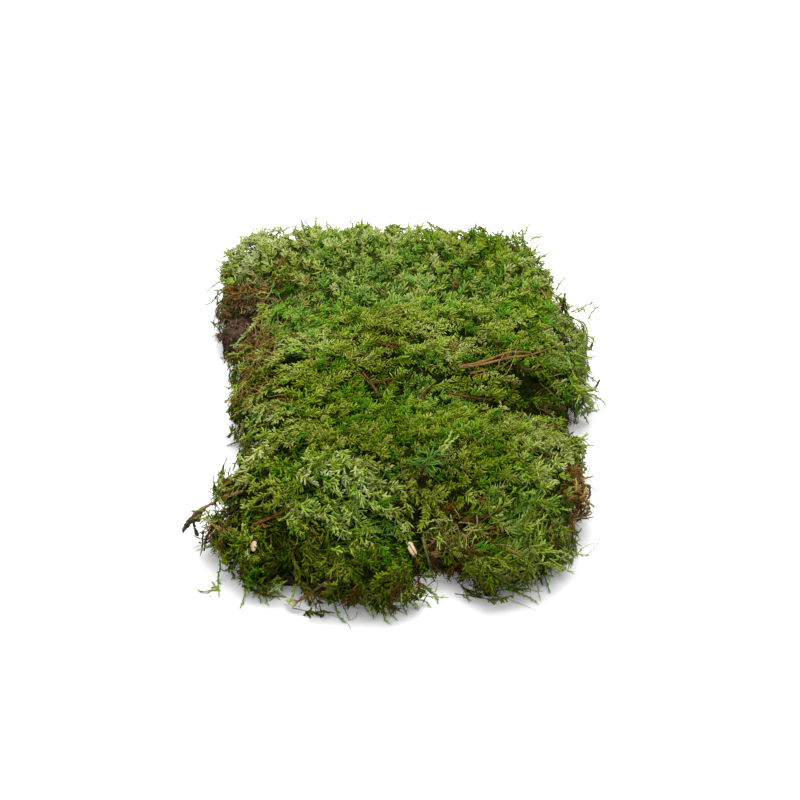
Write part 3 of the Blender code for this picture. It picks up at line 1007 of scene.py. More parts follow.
class ShootLayer:
    """Lays pinnate shoots so that their tips end at given spots."""

    TUFT = 0.030  # metres from tuft to tuft
    HEADING_SPREAD = math.radians(22)  # from shoot to shoot
    HEADING_SWAY = 0.8  # from tuft to tuft, in radians
    HANG_FROM, HANG_OVER = 0.65, 0.5  # shoots start to hang where the normal's z is below this
    GAP_WIDTH = 0.15  # of the gaps between tufts, in heights of the uneven field
    REAR_FROM = 0.13  # the gaps are half as deep behind here
    DEPTHS = (-0.0018, 0.0130)  # least and most under the surface
    OLD_BELOW = 0.018  # the lowest growth is old, browner, more often dead and darkened by painted shade
    OLD_DEAD = 0.35
    LIFT, LIFT_SPREAD, LIFTS = 84, 13, (8, 92)  # degrees: upright, from shoot to shoot, limits
    WALL_BELOW, WALL_LIFT = 0.45, math.radians(50)  # shoots lie closer to steep walls
    LOWEST_END = math.radians(-12)
    TIP_ROOM = 0.8  # of a branchlet, between the end of the stem and the tip of the shoot
    LOWEST_ROOT = 0.0015
    TONE_WAVES = ((0.11, 0.024, 9), (0.07, 0.009, 10))  # height, width, seed
    OLD_TONE = 0.10
    ODD_DARK, ODD_TONE = 0.09, 0.38  # the share of dark green shoots, and their tone
    ODD_LIGHT, ODD_LIGHTER = 0.95, 0.18  # from here on a shoot is pale, and by how much
    STRAW, STRAW_TONES, BROWN_TONES = 0.35, (0.2, 0.27), (0.03, 0.18)  # of dead shoots
    GREEN_TONES = (0.32, 1.0)
    # painted shade: shoots darker the deeper they sink, and more in crevices and beside debris
    MOST_SHADED, SHADED_DEPTH, CREVICE_SHADE, CREVICE_DEPTH = 0.4, 0.016, 0.62, 0.010
    WIRES, SPEARS = 0.6, 0.06  # shares: of dead branchlets, and of living ones
    FORK_EVERY = 4  # forked fingers take the place of this many plain ones
    STEEP_TURN, STEEP_FALL, STEEP_WANDER = 0.75, 0.7, 0.5  # on walls: turned, down, at random
    UNEVEN_WIDTH, UNEVEN_SPREAD = 0.012, 0.8  # metres from high to high, and from shoot to shoot
    ARCHES, SHOOTS, STALKS = (0.5, 1.2), (0.85, 1.2), (0.8, 1.2)  # least and most of the usual
    FACING, FACING_SLOPE, FACINGS = 0.60, 0.55, (0.35, 1.0)  # painted light and shade by the normal's z, lighter facing up, and its limits
    # painted shade: shoots darker near the floor; leading shoots also vary in lightness at random
    OLD_SHADE, LEADING_SHADES = 0.5, (0.82, 1.0)
    FLAT, FLAT_LOSS, FLAT_SHARES = 1.3, 1.4, (0.05, 0.97)  # flat shoots, fewer with lift
    # stems: tone drawn halfway to stem brown, and painted shade on their lightness
    STEM_DULL, STEM_SHADE = 0.5, 0.6
    LYING_RANKS, TUFTED_RANKS = (0.1, 0.9), (0.62, 0.38)  # the first branchlet's place, the rest
    RANK_SPREAD, LAST_SPREAD = 0.03, 0.14
    FLAT_TURN, ROUND_TURN = (0.35, 0.28), (2.4, 0.9)  # radians: round the stem, and its spread
    FLAT_LEAN, ROUND_LEAN = 0.18, 0.32  # radians: spread of the angle from the stem
    FLAT_TAPER, ROUND_TAPER, THICK_TAPER = (1.25, 0.75), (1.1, 0.25), 0.85
    LENGTHS, THIN_LENGTH, SPEAR_LENGTH = (0.55, 1.25), 0.90, 1.25
    GIRTH, LEAST_GIRTH, GIRTHS = 0.105, 0.00002, (0.78, 1.2)  # of the length; metres; limits
    THICK_GIRTH, SPEAR_GIRTH, DEAD_GIRTH = 1.05, 0.8, 0.6
    BOW_SPREAD, BENDS, DEAD_BEND, BRANCHLET_TONES = 0.7, (0.0, 0.55), 0.3, 0.03
    LOW, LOW_TO_TIP, LOW_AT_REAR, MOST_LOW = 0.17, 0.35, 0.28, 0.78  # painted shade at the root, lighter up the stem and at the rear
    RISE, THICK_TOP, THIN_TOP, REAR_DULL = 0.6, 0.88, 0.92, 0.10  # painted light at the tip: its rise, its caps and how much duller at the rear
    # painted highlight: the tips of light patches rise further
    BRIGHT_TOP, MOST_BRIGHT = 0.15, 0.6

    def __init__(self, habitat: Habitat, sizes: LayerSizes, seed: int) -> None:
        """Starts a layer.

        Args:
            habitat: Tells how the moss grows.
            sizes: The layer's own sizes.
            seed: Picks how its shoots vary.
        """
        self.habitat = habitat
        self.sizes = sizes
        self.rng = np.random.default_rng(seed)

    def headings(self, spots: Spots, plan: Array) -> Array:
        """Turns the shoots along the surface.

        Args:
            spots: Where the tips end.
            plan: Rows of x, y: which way the moss is combed there.

        Returns:
            A direction across the normal for each shoot.
        """
        number = len(spots.place)
        jitter = self.rng.normal(0, self.HEADING_SPREAD, number)
        jitter += self.HEADING_SWAY * waves(spots.place, self.TUFT, 12)
        cos, sin = np.cos(jitter), np.sin(jitter)
        flat = np.stack(
            [plan[:, 0] * cos - plan[:, 1] * sin, plan[:, 0] * sin + plan[:, 1] * cos, 0 * cos], -1
        )
        hanging = (self.HANG_FROM - spots.normal[:, 2]) / self.HANG_OVER
        steep = np.clip(hanging, 0, 1)[:, None]
        down = np.array([0.0, 0.0, -1.0])
        wander = self.rng.normal(0, self.STEEP_WANDER, (number, 3))
        mixed = flat * (1 - self.STEEP_TURN * steep) + (down * self.STEEP_FALL + wander) * steep
        return across(mixed, spots.normal)

    def depths(self, spots: Spots, sunk: Array) -> Array:
        """Lowers the shoots by tuft gaps, crevices and unevenness.

        Args:
            spots: Where the tips end.
            sunk: How far crevices lower them.

        Returns:
            How far under the surface each shoot ends.
        """
        sizes, place = self.sizes, spots.place
        field = waves(place, self.TUFT, 5)
        gap = np.exp(-((field / self.GAP_WIDTH) ** 2))
        gap *= np.where(place[:, 1] > self.REAR_FROM, 0.5, 1.0)
        jitter = waves(place, self.UNEVEN_WIDTH, 6) + self.rng.normal(
            0, self.UNEVEN_SPREAD, len(gap)
        )
        uneven = sizes.uneven * jitter
        depth = sizes.depth + np.maximum(sizes.gap_depth * gap, sunk)
        return np.clip(depth - uneven, *self.DEPTHS)

    def tones(self, spots: Spots, growth: dict[str, Array], low: Array, dead: Array) -> Array:
        """Picks a place on the palette for each shoot.

        Args:
            spots: Where the tips end.
            growth: The growth values there.
            low: How far each shoot is in the old growth below, 0 to 1.
            dead: Which shoots are dead.

        Returns:
            The tones.
        """
        rng, number = self.rng, len(low)
        tone = growth["tone"] + rng.normal(0, self.sizes.tone_spread, number)
        (high, wide, seed), (fine_high, fine_wide, fine_seed) = self.TONE_WAVES
        tone += high * waves(spots.place, wide, seed) + fine_high * waves(
            spots.place, fine_wide, fine_seed
        )
        tone -= self.OLD_TONE * low
        odd = rng.random(number)
        pale = tone + self.ODD_LIGHTER * (odd > self.ODD_LIGHT)
        tone = np.where(odd < self.ODD_DARK, self.ODD_TONE, pale)
        straw = rng.random(number) < self.STRAW
        brown = np.where(
            straw, rng.uniform(*self.STRAW_TONES, number), rng.uniform(*self.BROWN_TONES, number)
        )
        return np.where(dead, brown, np.clip(tone, *self.GREEN_TONES))

    def axes(self, spots: Spots) -> ShootAxes:
        """Plans the stem of one shoot for each spot.

        Args:
            spots: Where the tips end.

        Returns:
            The stems.
        """
        rng, sizes = self.rng, self.sizes
        number = len(spots.place)
        growth = self.habitat.read(spots.place)
        sunk = self.habitat.sunk(spots.place)
        along = self.headings(spots, growth["heading"])
        low = np.clip((self.OLD_BELOW - spots.place[:, 2]) / self.OLD_BELOW, 0, 1)
        dead = rng.random(number) < growth["dead"] + self.OLD_DEAD * low
        lift = growth["lift"] * self.LIFT + rng.normal(0, self.LIFT_SPREAD, number)
        lift = np.radians(np.clip(lift, *self.LIFTS))
        steep = spots.normal[:, 2] < self.WALL_BELOW
        lift = np.where(steep, np.minimum(lift, self.WALL_LIFT), lift)
        arch = sizes.arch * rng.uniform(*self.ARCHES, number)
        ease = np.maximum(lift - arch, self.LOWEST_END)
        start, finish = (
            unit(along * np.cos(a)[:, None] + spots.normal * np.sin(a)[:, None])
            for a in (lift, ease)
        )
        shoot = growth["shoot"] * rng.uniform(*self.SHOOTS, number)
        stalk = growth["stalk"] * rng.uniform(*self.STALKS, number)
        depth = self.depths(spots, sunk)
        beyond = np.stack([growth["right"], growth["rear"], growth["up"]], -1)
        tip = spots.place - spots.normal * depth[:, None] + beyond
        end = tip - finish * (self.TIP_ROOM * shoot)[:, None]
        root = end - (start + finish) / 2 * stalk[:, None]
        root[:, 2] = np.maximum(root[:, 2], self.LOWEST_ROOT)
        tone = self.tones(spots, growth, low, dead)
        # painted light and shade: lighter facing up; darker deep down, near the floor, in crevices,
        # by debris and in the front undergrowth; set per patch
        facing = np.clip(self.FACING + self.FACING_SLOPE * spots.normal[:, 2], *self.FACINGS)
        shaded = np.clip(depth / self.SHADED_DEPTH, 0, self.MOST_SHADED)
        shade = facing * (1 - self.OLD_SHADE * low) * (1 - shaded)
        shade *= rng.uniform(*self.LEADING_SHADES, number) if sizes.leading else growth["open"]
        shade *= growth["shade"]
        shade *= 1 - self.CREVICE_SHADE * np.clip(sunk / self.CREVICE_DEPTH, 0, 1)
        flat = self.FLAT - growth["lift"] * self.FLAT_LOSS
        return ShootAxes(
            root=root,
            start=start,
            finish=finish,
            length=stalk,
            side=np.cross(spots.normal, along),
            lift=lift,
            flat=rng.random(number) < np.clip(flat, *self.FLAT_SHARES),
            tone=tone,
            shade=shade,
            shoot=shoot,
            dead=dead,
            spear=rng.random(number) < growth["spear"],
        )

    def stems(self, axes: ShootAxes) -> Copies:
        """Makes the bare stems.

        Args:
            axes: The stems as planned.

        Returns:
            One stem for each shoot.
        """
        number = len(axes.root)
        turn = axes.finish - axes.start
        aside = turn - axes.start * np.sum(turn * axes.start, axis=1, keepdims=True)
        straight = (1 + np.sum(axes.start * axes.finish, axis=1)) / 2
        dull = self.sizes.stem_tone + self.STEM_DULL * (axes.tone - self.sizes.stem_tone)
        return Copies(
            shape=STEM,
            root=axes.root,
            heading=axes.start,
            bow=turn,
            length=axes.length * straight,
            radius=np.full(number, self.sizes.stem_radius),
            bend=np.linalg.norm(aside, axis=1) / 2 / straight,
            tone=np.where(axes.dead, axes.tone, dull),
            low=np.zeros(number),
            high=self.STEM_SHADE * axes.shade,
        )

    def stances(self, axes: ShootAxes, rank: int) -> tuple[Array, Array, Array]:
        """Turns the branchlets of one rank away from their stems.

        Args:
            axes: The stems.
            rank: Which branchlet, from the root up; the last one ends the stem.

        Returns:
            How far along its stem each one stands, the stem's direction there and its own.
        """
        rng, sizes = self.rng, self.sizes
        number = len(axes.root)
        if rank == sizes.branchlets - 1:
            heading = unit(axes.finish + rng.normal(0, self.LAST_SPREAD, (number, 3)))
            return np.ones(number), axes.finish, heading
        even = (rank + 0.5) / sizes.branchlets
        upright = np.clip(axes.lift / sizes.tufted_from, 0, 1)
        lying, tufted = (
            first + rest * even for first, rest in (self.LYING_RANKS, self.TUFTED_RANKS)
        )
        share = lying * (1 - upright) + tufted * upright
        share = share + rng.normal(0, self.RANK_SPREAD, number)
        axis = unit(axes.start * (1 - share[:, None]) + axes.finish * share[:, None])
        (flat_turn, flat_spread), (round_turn, round_spread) = self.FLAT_TURN, self.ROUND_TURN
        turn = np.where(
            axes.flat,
            (rank % 2) * math.pi + flat_turn + rng.normal(0, flat_spread, number),
            rank * round_turn + rng.uniform(0, round_spread, number),
        )
        beside = across(axes.side, axis)
        above = np.cross(axis, beside)
        out = beside * np.cos(turn)[:, None] + above * np.sin(turn)[:, None]
        angle = sizes.low_spread + (sizes.top_spread - sizes.low_spread) * even
        angle = np.where(axes.flat, sizes.flat_spread, angle)
        angle += rng.normal(0, 1, number) * np.where(axes.flat, self.FLAT_LEAN, self.ROUND_LEAN)
        return share, axis, unit(axis * np.cos(angle)[:, None] + out * np.sin(angle)[:, None])

    def branchlets(self, axes: ShootAxes, rank: int) -> Copies:
        """Makes the branchlets of one rank, one for each shoot.

        Args:
            axes: The stems.
            rank: Which branchlet, from the root up; the last one ends the stem.

        Returns:
            The branchlets, all of one shape for now.
        """
        rng, sizes = self.rng, self.sizes
        number = len(axes.root)
        even = (rank + 0.5) / sizes.branchlets
        share, axis, heading = self.stances(axes, rank)
        taper = np.where(
            axes.flat, *(first - loss * even for first, loss in (self.FLAT_TAPER, self.ROUND_TAPER))
        )
        thick = axes.shoot > sizes.thick_from
        taper = np.where(thick, 1.0 if rank == sizes.branchlets - 1 else self.THICK_TAPER, taper)
        length = axes.shoot * taper * rng.uniform(*self.LENGTHS, number)
        length = length * np.where(thick, 1.0, self.THIN_LENGTH)
        radius = self.GIRTH * axes.shoot + self.LEAST_GIRTH
        radius = radius * rng.uniform(*self.GIRTHS, number)
        radius = radius * np.where(thick, self.THICK_GIRTH, 1.0)
        radius = radius * np.where(axes.spear, self.SPEAR_GIRTH, 1.0)
        radius = radius * np.where(axes.dead, self.DEAD_GIRTH, 1.0)
        # painted light along each branchlet: dark at the root, light to the tip, palest on the
        # glints, flatter at the rear
        rear_from, rear_over = sizes.soft_rear
        soft = np.clip((axes.root[:, 1] - rear_from) / rear_over, 0, 1)
        low = self.LOW + self.LOW_TO_TIP * share + self.LOW_AT_REAR * soft
        glints = rng.random(number) < sizes.glints
        top = np.where(glints, 1.0, np.where(thick, self.THICK_TOP, self.THIN_TOP))
        bright = self.BRIGHT_TOP * np.clip(axes.shade - 1.0, 0, self.MOST_BRIGHT)
        top = np.minimum(top - self.REAR_DULL * soft + bright, 1.0)
        return Copies(
            shape=PLUMP,
            root=axes.at(share),
            heading=heading,
            bow=axis + rng.normal(0, self.BOW_SPREAD, (number, 3)),
            length=length * np.where(axes.spear, self.SPEAR_LENGTH, 1.0),
            radius=radius,
            bend=rng.uniform(*self.BENDS, number) + self.DEAD_BEND * axes.dead,
            tone=np.clip(axes.tone + rng.normal(0, self.BRANCHLET_TONES, number), 0, 1),
            low=np.minimum(low * axes.shade, self.MOST_LOW),
            high=np.minimum(np.minimum(low + self.RISE, 1.0) * axes.shade, top),
        )

    def lay(self, spots: Spots) -> list[Copies]:
        """Makes the stem and branchlets of one shoot for each spot.

        Args:
            spots: Where the tips end.

        Returns:
            Copies of the masters.
        """
        axes = self.axes(spots)
        laid = [self.stems(axes)] if self.sizes.leading else []
        for rank in range(self.sizes.branchlets):
            all_ranks = self.branchlets(axes, rank)
            kind = self.rng.random(len(axes.root))
            free = self.habitat.clear(all_ranks)
            wire = free & axes.dead & (kind < self.WIRES)
            spear = free & ~wire & (axes.spear | axes.dead | (kind < self.SPEARS))
            thick = free & ~wire & ~spear & (axes.shoot > self.sizes.thick_from)
            for shape, rows in (
                (WIRE, wire),
                (SPEAR, spear),
                (FORK, thick & (rank % self.FORK_EVERY == 1)),
                (SPROUT, free & ~wire & ~spear & ~thick),
            ):
                chosen = all_ranks.pick(rows)
                chosen.shape = shape
                laid.append(chosen)
        return laid


# ---- stray shoots of the edge
class Kind(Enum):
    """How a stray shoot is made."""

    LEAFY = "leafy shoot with short branchlets"
    PLUME = "close feathery shoot"
    THREAD = "thin thread"
    BARE = "bare stalk"
    CURL = "curled dead shoot"
    HOOK = "thick smooth curl"


LEAFY, PLUME, THREAD, BARE, CURL, HOOK = Kind


@dataclass(frozen=True)
class Strand:
    """One stray shoot: its way from root to tip, in millimetres."""

    kind: Kind
    tone: float
    way: tuple[Triple, ...]
    girth: float = 1.0


@dataclass(frozen=True)
class Bunch:
    """Stray shoots that leave the moss round one place; lengths in millimetres."""

    kind: Kind
    centre: Triple
    spread: Triple  # half size of the place that they grow from
    toward: Triple
    count: int
    length: float
    tone: float
    fan: float = 0.5  # how far their directions vary
    droop: float = 0.2  # how far a tip sinks, as a share of the length
    tone_spread: float = 0.05
    girth: float = 1.0


# the stray shoots that the outline shows: tone, y, then x and z in turn from root to tip, in mm
UPRIGHT_SHOOTS = {
    LEAFY: (
        (0.40, -94, -116, 29, -115, 36, -113, 45, -112, 55),
        (0.72, -88, -106, 40, -107, 47, -106, 53),
        (0.60, -144, -72, 10, -73, 4, -78, 1),
        (0.66, -151, -2, 19, 3, 13, 10, 9, 18, 5, 28, 4),
        (0.66, -148, 60, 12, 68, 9, 76, 8, 86, 6),
        (0.60, -129, 97, 9, 101, 11, 105, 14, 108, 17),
        (0.66, -126, 100, 21, 107, 17, 111, 16, 116, 15),
        (0.85, -47, 120, 13, 120, 23, 119, 33),
        (0.90, -49, 118, 11, 122, 16, 123, 19),
        (0.80, -40, 118, 34, 120, 37, 122, 39),
        (0.82, 144, 118, 24, 120, 30, 123, 35),
        (0.32, 86, 119, 49, 118, 54, 117, 59),
        (0.80, 93, 123, 41, 129, 44, 134, 47, 139, 50),
        (0.78, 80, 134, 44, 136, 49, 138, 53, 141, 56),
        (0.82, 43, 128, 37, 131, 38, 135, 39),
        (0.50, 35, 124, 37, 129, 31, 134, 26, 138, 23),
        (0.82, 35, 132, 13, 137, 11, 143, 6, 145, 3),
        (0.74, 14, 127, 14, 132, 14, 137, 15),
        (0.78, 97, 129, 38, 132, 41, 134, 38),
        (0.80, 52, 124, 36, 128, 42, 129, 47),
        (0.95, 172, -72, 58, -73, 64, -74, 69),
        (0.92, 175, -67, 58, -69, 62, -72, 66),
        (0.85, 169, -50, 61, -52, 65, -55, 68),
        (0.75, 166, -34, 60, -35, 66, -37, 72),
        (0.62, 164, -28, 63, -29, 69, -28, 75),
        (0.80, 171, -6, 57, -8, 62, -12, 63),
        (0.72, 170, 25, 59, 23, 64, 22, 68),
        (0.72, 176, 56, 56, 57, 61, 57, 64),
        (0.66, 175, 92, 53, 90, 57, 95, 57),
        (0.88, 171, 98, 51, 103, 54, 108, 55),
        (0.84, 172, 98, 41, 102, 36, 106, 31),
        (0.80, 155, 103, 39, 107, 34, 111, 33),
        (0.72, 137, 102, 37, 104, 40, 106, 40),
        (0.74, 130, 102, 38, 106, 39),
        (0.80, 159, -121, 42, -127, 46, -132, 49),
        (0.76, 151, -122, 43, -127, 48, -129, 50),
        (0.66, 138, -126, 39, -133, 37, -138, 34, -144, 28),
        (0.62, 130, -130, 34, -136, 30, -141, 23, -146, 21),
        (0.56, 106, -128, 19, -131, 20, -135, 19),
        (0.66, 27, -114, 27, -118, 24, -121, 25),
        (0.60, 0, -110, 29, -114, 24, -116, 19),
        (0.55, -34, -106, 16, -110, 9, -112, 3),
    ),
    THREAD: (
        (0.75, -95, -122, 26, -123, 33, -124, 39, -124, 47),
        (0.85, -94, -117, 30, -115, 37, -117, 41, -121, 43),
        (0.70, -94, -118, 28, -119, 33, -120, 36, -124, 37),
        (0.25, -128, -106, 21, -110, 17, -112, 12),
        (0.45, -139, -100, 18, -102, 15, -105, 15, -107, 16, -110, 15),
        (0.50, -122, 116, 10, 119, 15, 122, 21, 124, 28, 128, 33),
        (0.70, -122, 112, 16, 116, 20, 122, 22),
        (0.20, -48, 119, 11, 125, 7, 128, 4),
        (0.85, -48, 124, 13, 126, 19, 126, 26),
        (0.30, -75, 119, 26, 123, 25, 127, 20),
        (0.85, 138, 112, 28, 112, 34, 114, 37),
        (0.80, 102, 123, 40, 124, 46, 126, 49),
        (0.78, 79, 131, 41, 135, 43, 142, 45),
        (0.84, 53, 129, 36, 134, 39, 137, 39, 142, 37),
        (0.20, 14, 117, 27, 124, 27, 130, 27),
        (0.92, 175, -66, 61, -64, 69, -61, 67, -60, 59),
        (0.26, 167, 2, 58, 2, 64, -1, 70, -6, 76),
        (0.85, 172, 100, 40, 105, 38, 110, 36),
        (0.80, 167, -122, 47, -124, 51, -125, 56),
        (0.12, 151, -140, 38, -143, 41, -146, 45, -150, 50),
        (0.60, 154, -126, 39, -131, 37, -136, 37, -141, 36),
        (0.08, 116, -132, 28, -135, 26, -136, 23, -135, 18, -132, 19, -132, 24),
    ),
    BARE: (
        (0.02, -158, -48, 13, -50, 7, -52, 4),
        (0.02, -144, 76, 14, 79, 5),
    ),
    HOOK: (
        (0.12, -78, 113, 31, 117, 30, 121, 26, 121, 20),
        (0.16, -86, 111, 31, 117, 24, 120, 17),
        (0.10, -92, 110, 29, 115, 26, 119, 22),
        (0.14, -84, 110, 32, 116, 31, 121, 27),
        (0.12, -94, 110, 25, 114, 18, 115, 13),
        (0.08, -74, 110, 32, 115, 30, 119, 25),
        (0.10, -34, 114, 32, 119, 29, 123, 25),
        (0.24, 77, 130, 44, 133, 39, 133, 31, 133, 24),
        (0.14, 143, -127, 40, -132, 40, -136, 37),
        (0.12, 128, -124, 38, -131, 36, -136, 35),
        (0.16, 14, -111, 28, -116, 24, -119, 19),
        (0.18, 49, -115, 21, -117, 24, -119, 22),
    ),
}

# those that wind or lie on the ground: kind, tone, girth, then x, y and z in turn, in mm
WINDING_SHOOTS = (
    # tips that droop to the ground round the edge
    (
        LEAFY, 0.42, 1.0, -111, -132, 17, -111, -132, 10, -113, -132, 2, -112, -141, 1,
        -111, -147, 1,
    ),
    (LEAFY, 0.72, 1.0, -112, -141, 1, -114, -139, 1, -116, -136, 1),
    (LEAFY, 0.72, 1.0, -112, -142, 1, -116, -142, 1, -121, -144, 1, -124, -142, 1),
    (THREAD, 0.8, 1.0, -121, -144, 1, -116, -147, 1, -112, -152, 1),
    (LEAFY, 0.68, 1.0, -95, -144, 10, -95, -144, 3, -96, -151, 1, -97, -156, 1),
    (LEAFY, 0.6, 1.0, -86, -148, 11, -83, -148, 4, -82, -151, 1, -81, -154, 1),
    (LEAFY, 0.62, 1.0, -78, -145, 9, -76, -145, 2, -72, -147, 1),
    (
        THREAD, 0.62, 1.0, -57, -149, 6, -56, -151, 1, -54, -155, 1, -46, -160, 1,
        -37, -165, 1,
    ),
    (THREAD, 0.22, 1.0, -61, -156, 1, -67, -154, 1, -71, -154, 1),
    (LEAFY, 0.5, 1.0, -40, -158, 10, -39, -158, 2, -37, -164, 1, -34, -168, 1),
    (THREAD, 0.65, 1.0, -34, -167, 1, -31, -170, 1, -29, -175, 1),
    (BARE, 0.1, 1.0, -35, -155, 1, -32, -162, 1, -31, -166, 1),
    (THREAD, 0.6, 1.0, -26, -160, 1, -27, -165, 1, -32, -167, 1),
    (LEAFY, 0.66, 1.0, -18, -154, 1, -17, -160, 1, -16, -165, 1),
    (LEAFY, 0.7, 1.0, -13, -156, 1, -10, -161, 1, -9, -166, 1, -7, -169, 1),
    (LEAFY, 0.62, 1.0, -9, -156, 5, -5, -156, 1, -3, -160, 1),
    (LEAFY, 0.45, 1.0, 14, -137, 1, 18, -142, 1, 22, -147, 1, 23, -152, 1),
    (LEAFY, 0.6, 1.0, 2, -153, 10, 9, -153, 5, 15, -153, 3, 18, -155, 1),
    (LEAFY, 0.64, 1.0, -1, -155, 10, 6, -155, 4, 11, -156, 1),
    (THREAD, 0.6, 1.0, 15, -141, 1, 21, -144, 1, 23, -139, 2, 23, -139, 9),
    (THREAD, 0.8, 1.0, 61, -146, 1, 69, -151, 1, 76, -155, 1, 85, -160, 1),
    (LEAFY, 0.68, 1.0, 65, -145, 6, 74, -145, 1, 80, -149, 1, 84, -153, 1),
    (
        BARE, 0.16, 1.0, 69, -138, 25, 73, -138, 24, 77, -138, 21, 81, -138, 14, 84, -138, 4,
        86, -151, 1,
    ),
    (LEAFY, 0.42, 1.0, 89, -130, 4, 91, -136, 1, 92, -143, 1),
    (BARE, 0.02, 1.0, 92, -130, 8, 95, -131, 1),
    (LEAFY, 0.45, 1.0, 105, -98, 12, 110, -98, 4, 112, -104, 1, 112, -112, 1),
    (THREAD, 0.84, 1.0, 137, 34, 10, 139, 34, 4, 141, 31, 1),
    (THREAD, 0.34, 1.0, 136, 35, 7, 135, 35, 1, 133, 27, 1),
    (LEAFY, 0.64, 1.0, -110, -3, 3, -115, -5, 1, -118, -7, 1),
    # the pale plume that crosses the bare soil, the green loop over it, and the twigs below
    (PLUME, 0.86, 1.3, -98, 102, 33, -104, 97, 30, -110, 91, 26, -116, 87, 21, -121, 84, 15),
    (
        LEAFY, 0.8, 1.0, -92, 120, 50, -94, 118, 44, -97, 116, 39, -102, 115, 37,
        -105, 115, 40, -102, 115, 43, -97, 115, 42,
    ),
    (BARE, 0.07, 2.3, -110, 88, 22, -115, 84, 16, -118, 80, 8),
    (BARE, 0.145, 1.2, -106.5, 78, 28, -107, 77, 21, -107.3, 76, 15),
    (BARE, 0.15, 1.1, -104, 72, 26, -100, 70, 28, -96, 72, 32),
    (BARE, 0.14, 1.3, -87, 86, 38, -92, 80, 34, -99, 72, 30),
    (CURL, 0.18, 2.0, -120, 124, 40, -126, 124, 39, -132, 124, 38, -137, 124, 38),
    (
        HOOK, 0.09, 0.9, -129, 118, 27, -134, 118, 29, -137, 118, 22, -135, 118, 17,
        -132, 118, 24,
    ),
    # the threads over the crevice on the right
    (BARE, 0.06, 1.0, 96, 22, 33, 104, 14, 30, 110, 12, 24),
    (BARE, 0.03, 1.0, 104, 30, 38, 108, 18, 33, 109, 6, 26),
    # the thick pale curls of the torn right edge
    (HOOK, 0.175, 1.9, 110, -80, 33, 114, -80, 31, 120, -80, 31.5, 121, -80, 26),
    (HOOK, 0.17, 2.1, 111, -80, 27, 117, -80, 21, 121, -80, 14),
    (HOOK, 0.165, 1.7, 110, -80, 17, 114, -80, 19, 118, -80, 17.5),
    (HOOK, 0.16, 1.8, 113, -80, 16, 117, -80, 9, 115, -82, 2),
    (HOOK, 0.17, 1.6, 121, -80, 27, 121, -80, 21, 118, -80, 18),
    # the pale plumes beside the sprig
    (PLUME, 0.78, 1.0, 26, -70, 48, 31, -64, 51.5, 37, -58, 53.5),
    (PLUME, 0.74, 1.0, 24, -66, 48, 30, -60, 51, 33, -53, 53),
    # the black stalk and the tan needle under the barked twig
    (BARE, 0.0, 1.6, -122.3, -113, 23.5, -123.5, -113, 14, -125.6, -113, 2.2),
    (BARE, 0.18, 1.7, -114, -110, 19, -117, -110, 14, -119.5, -110, 8.5),
)

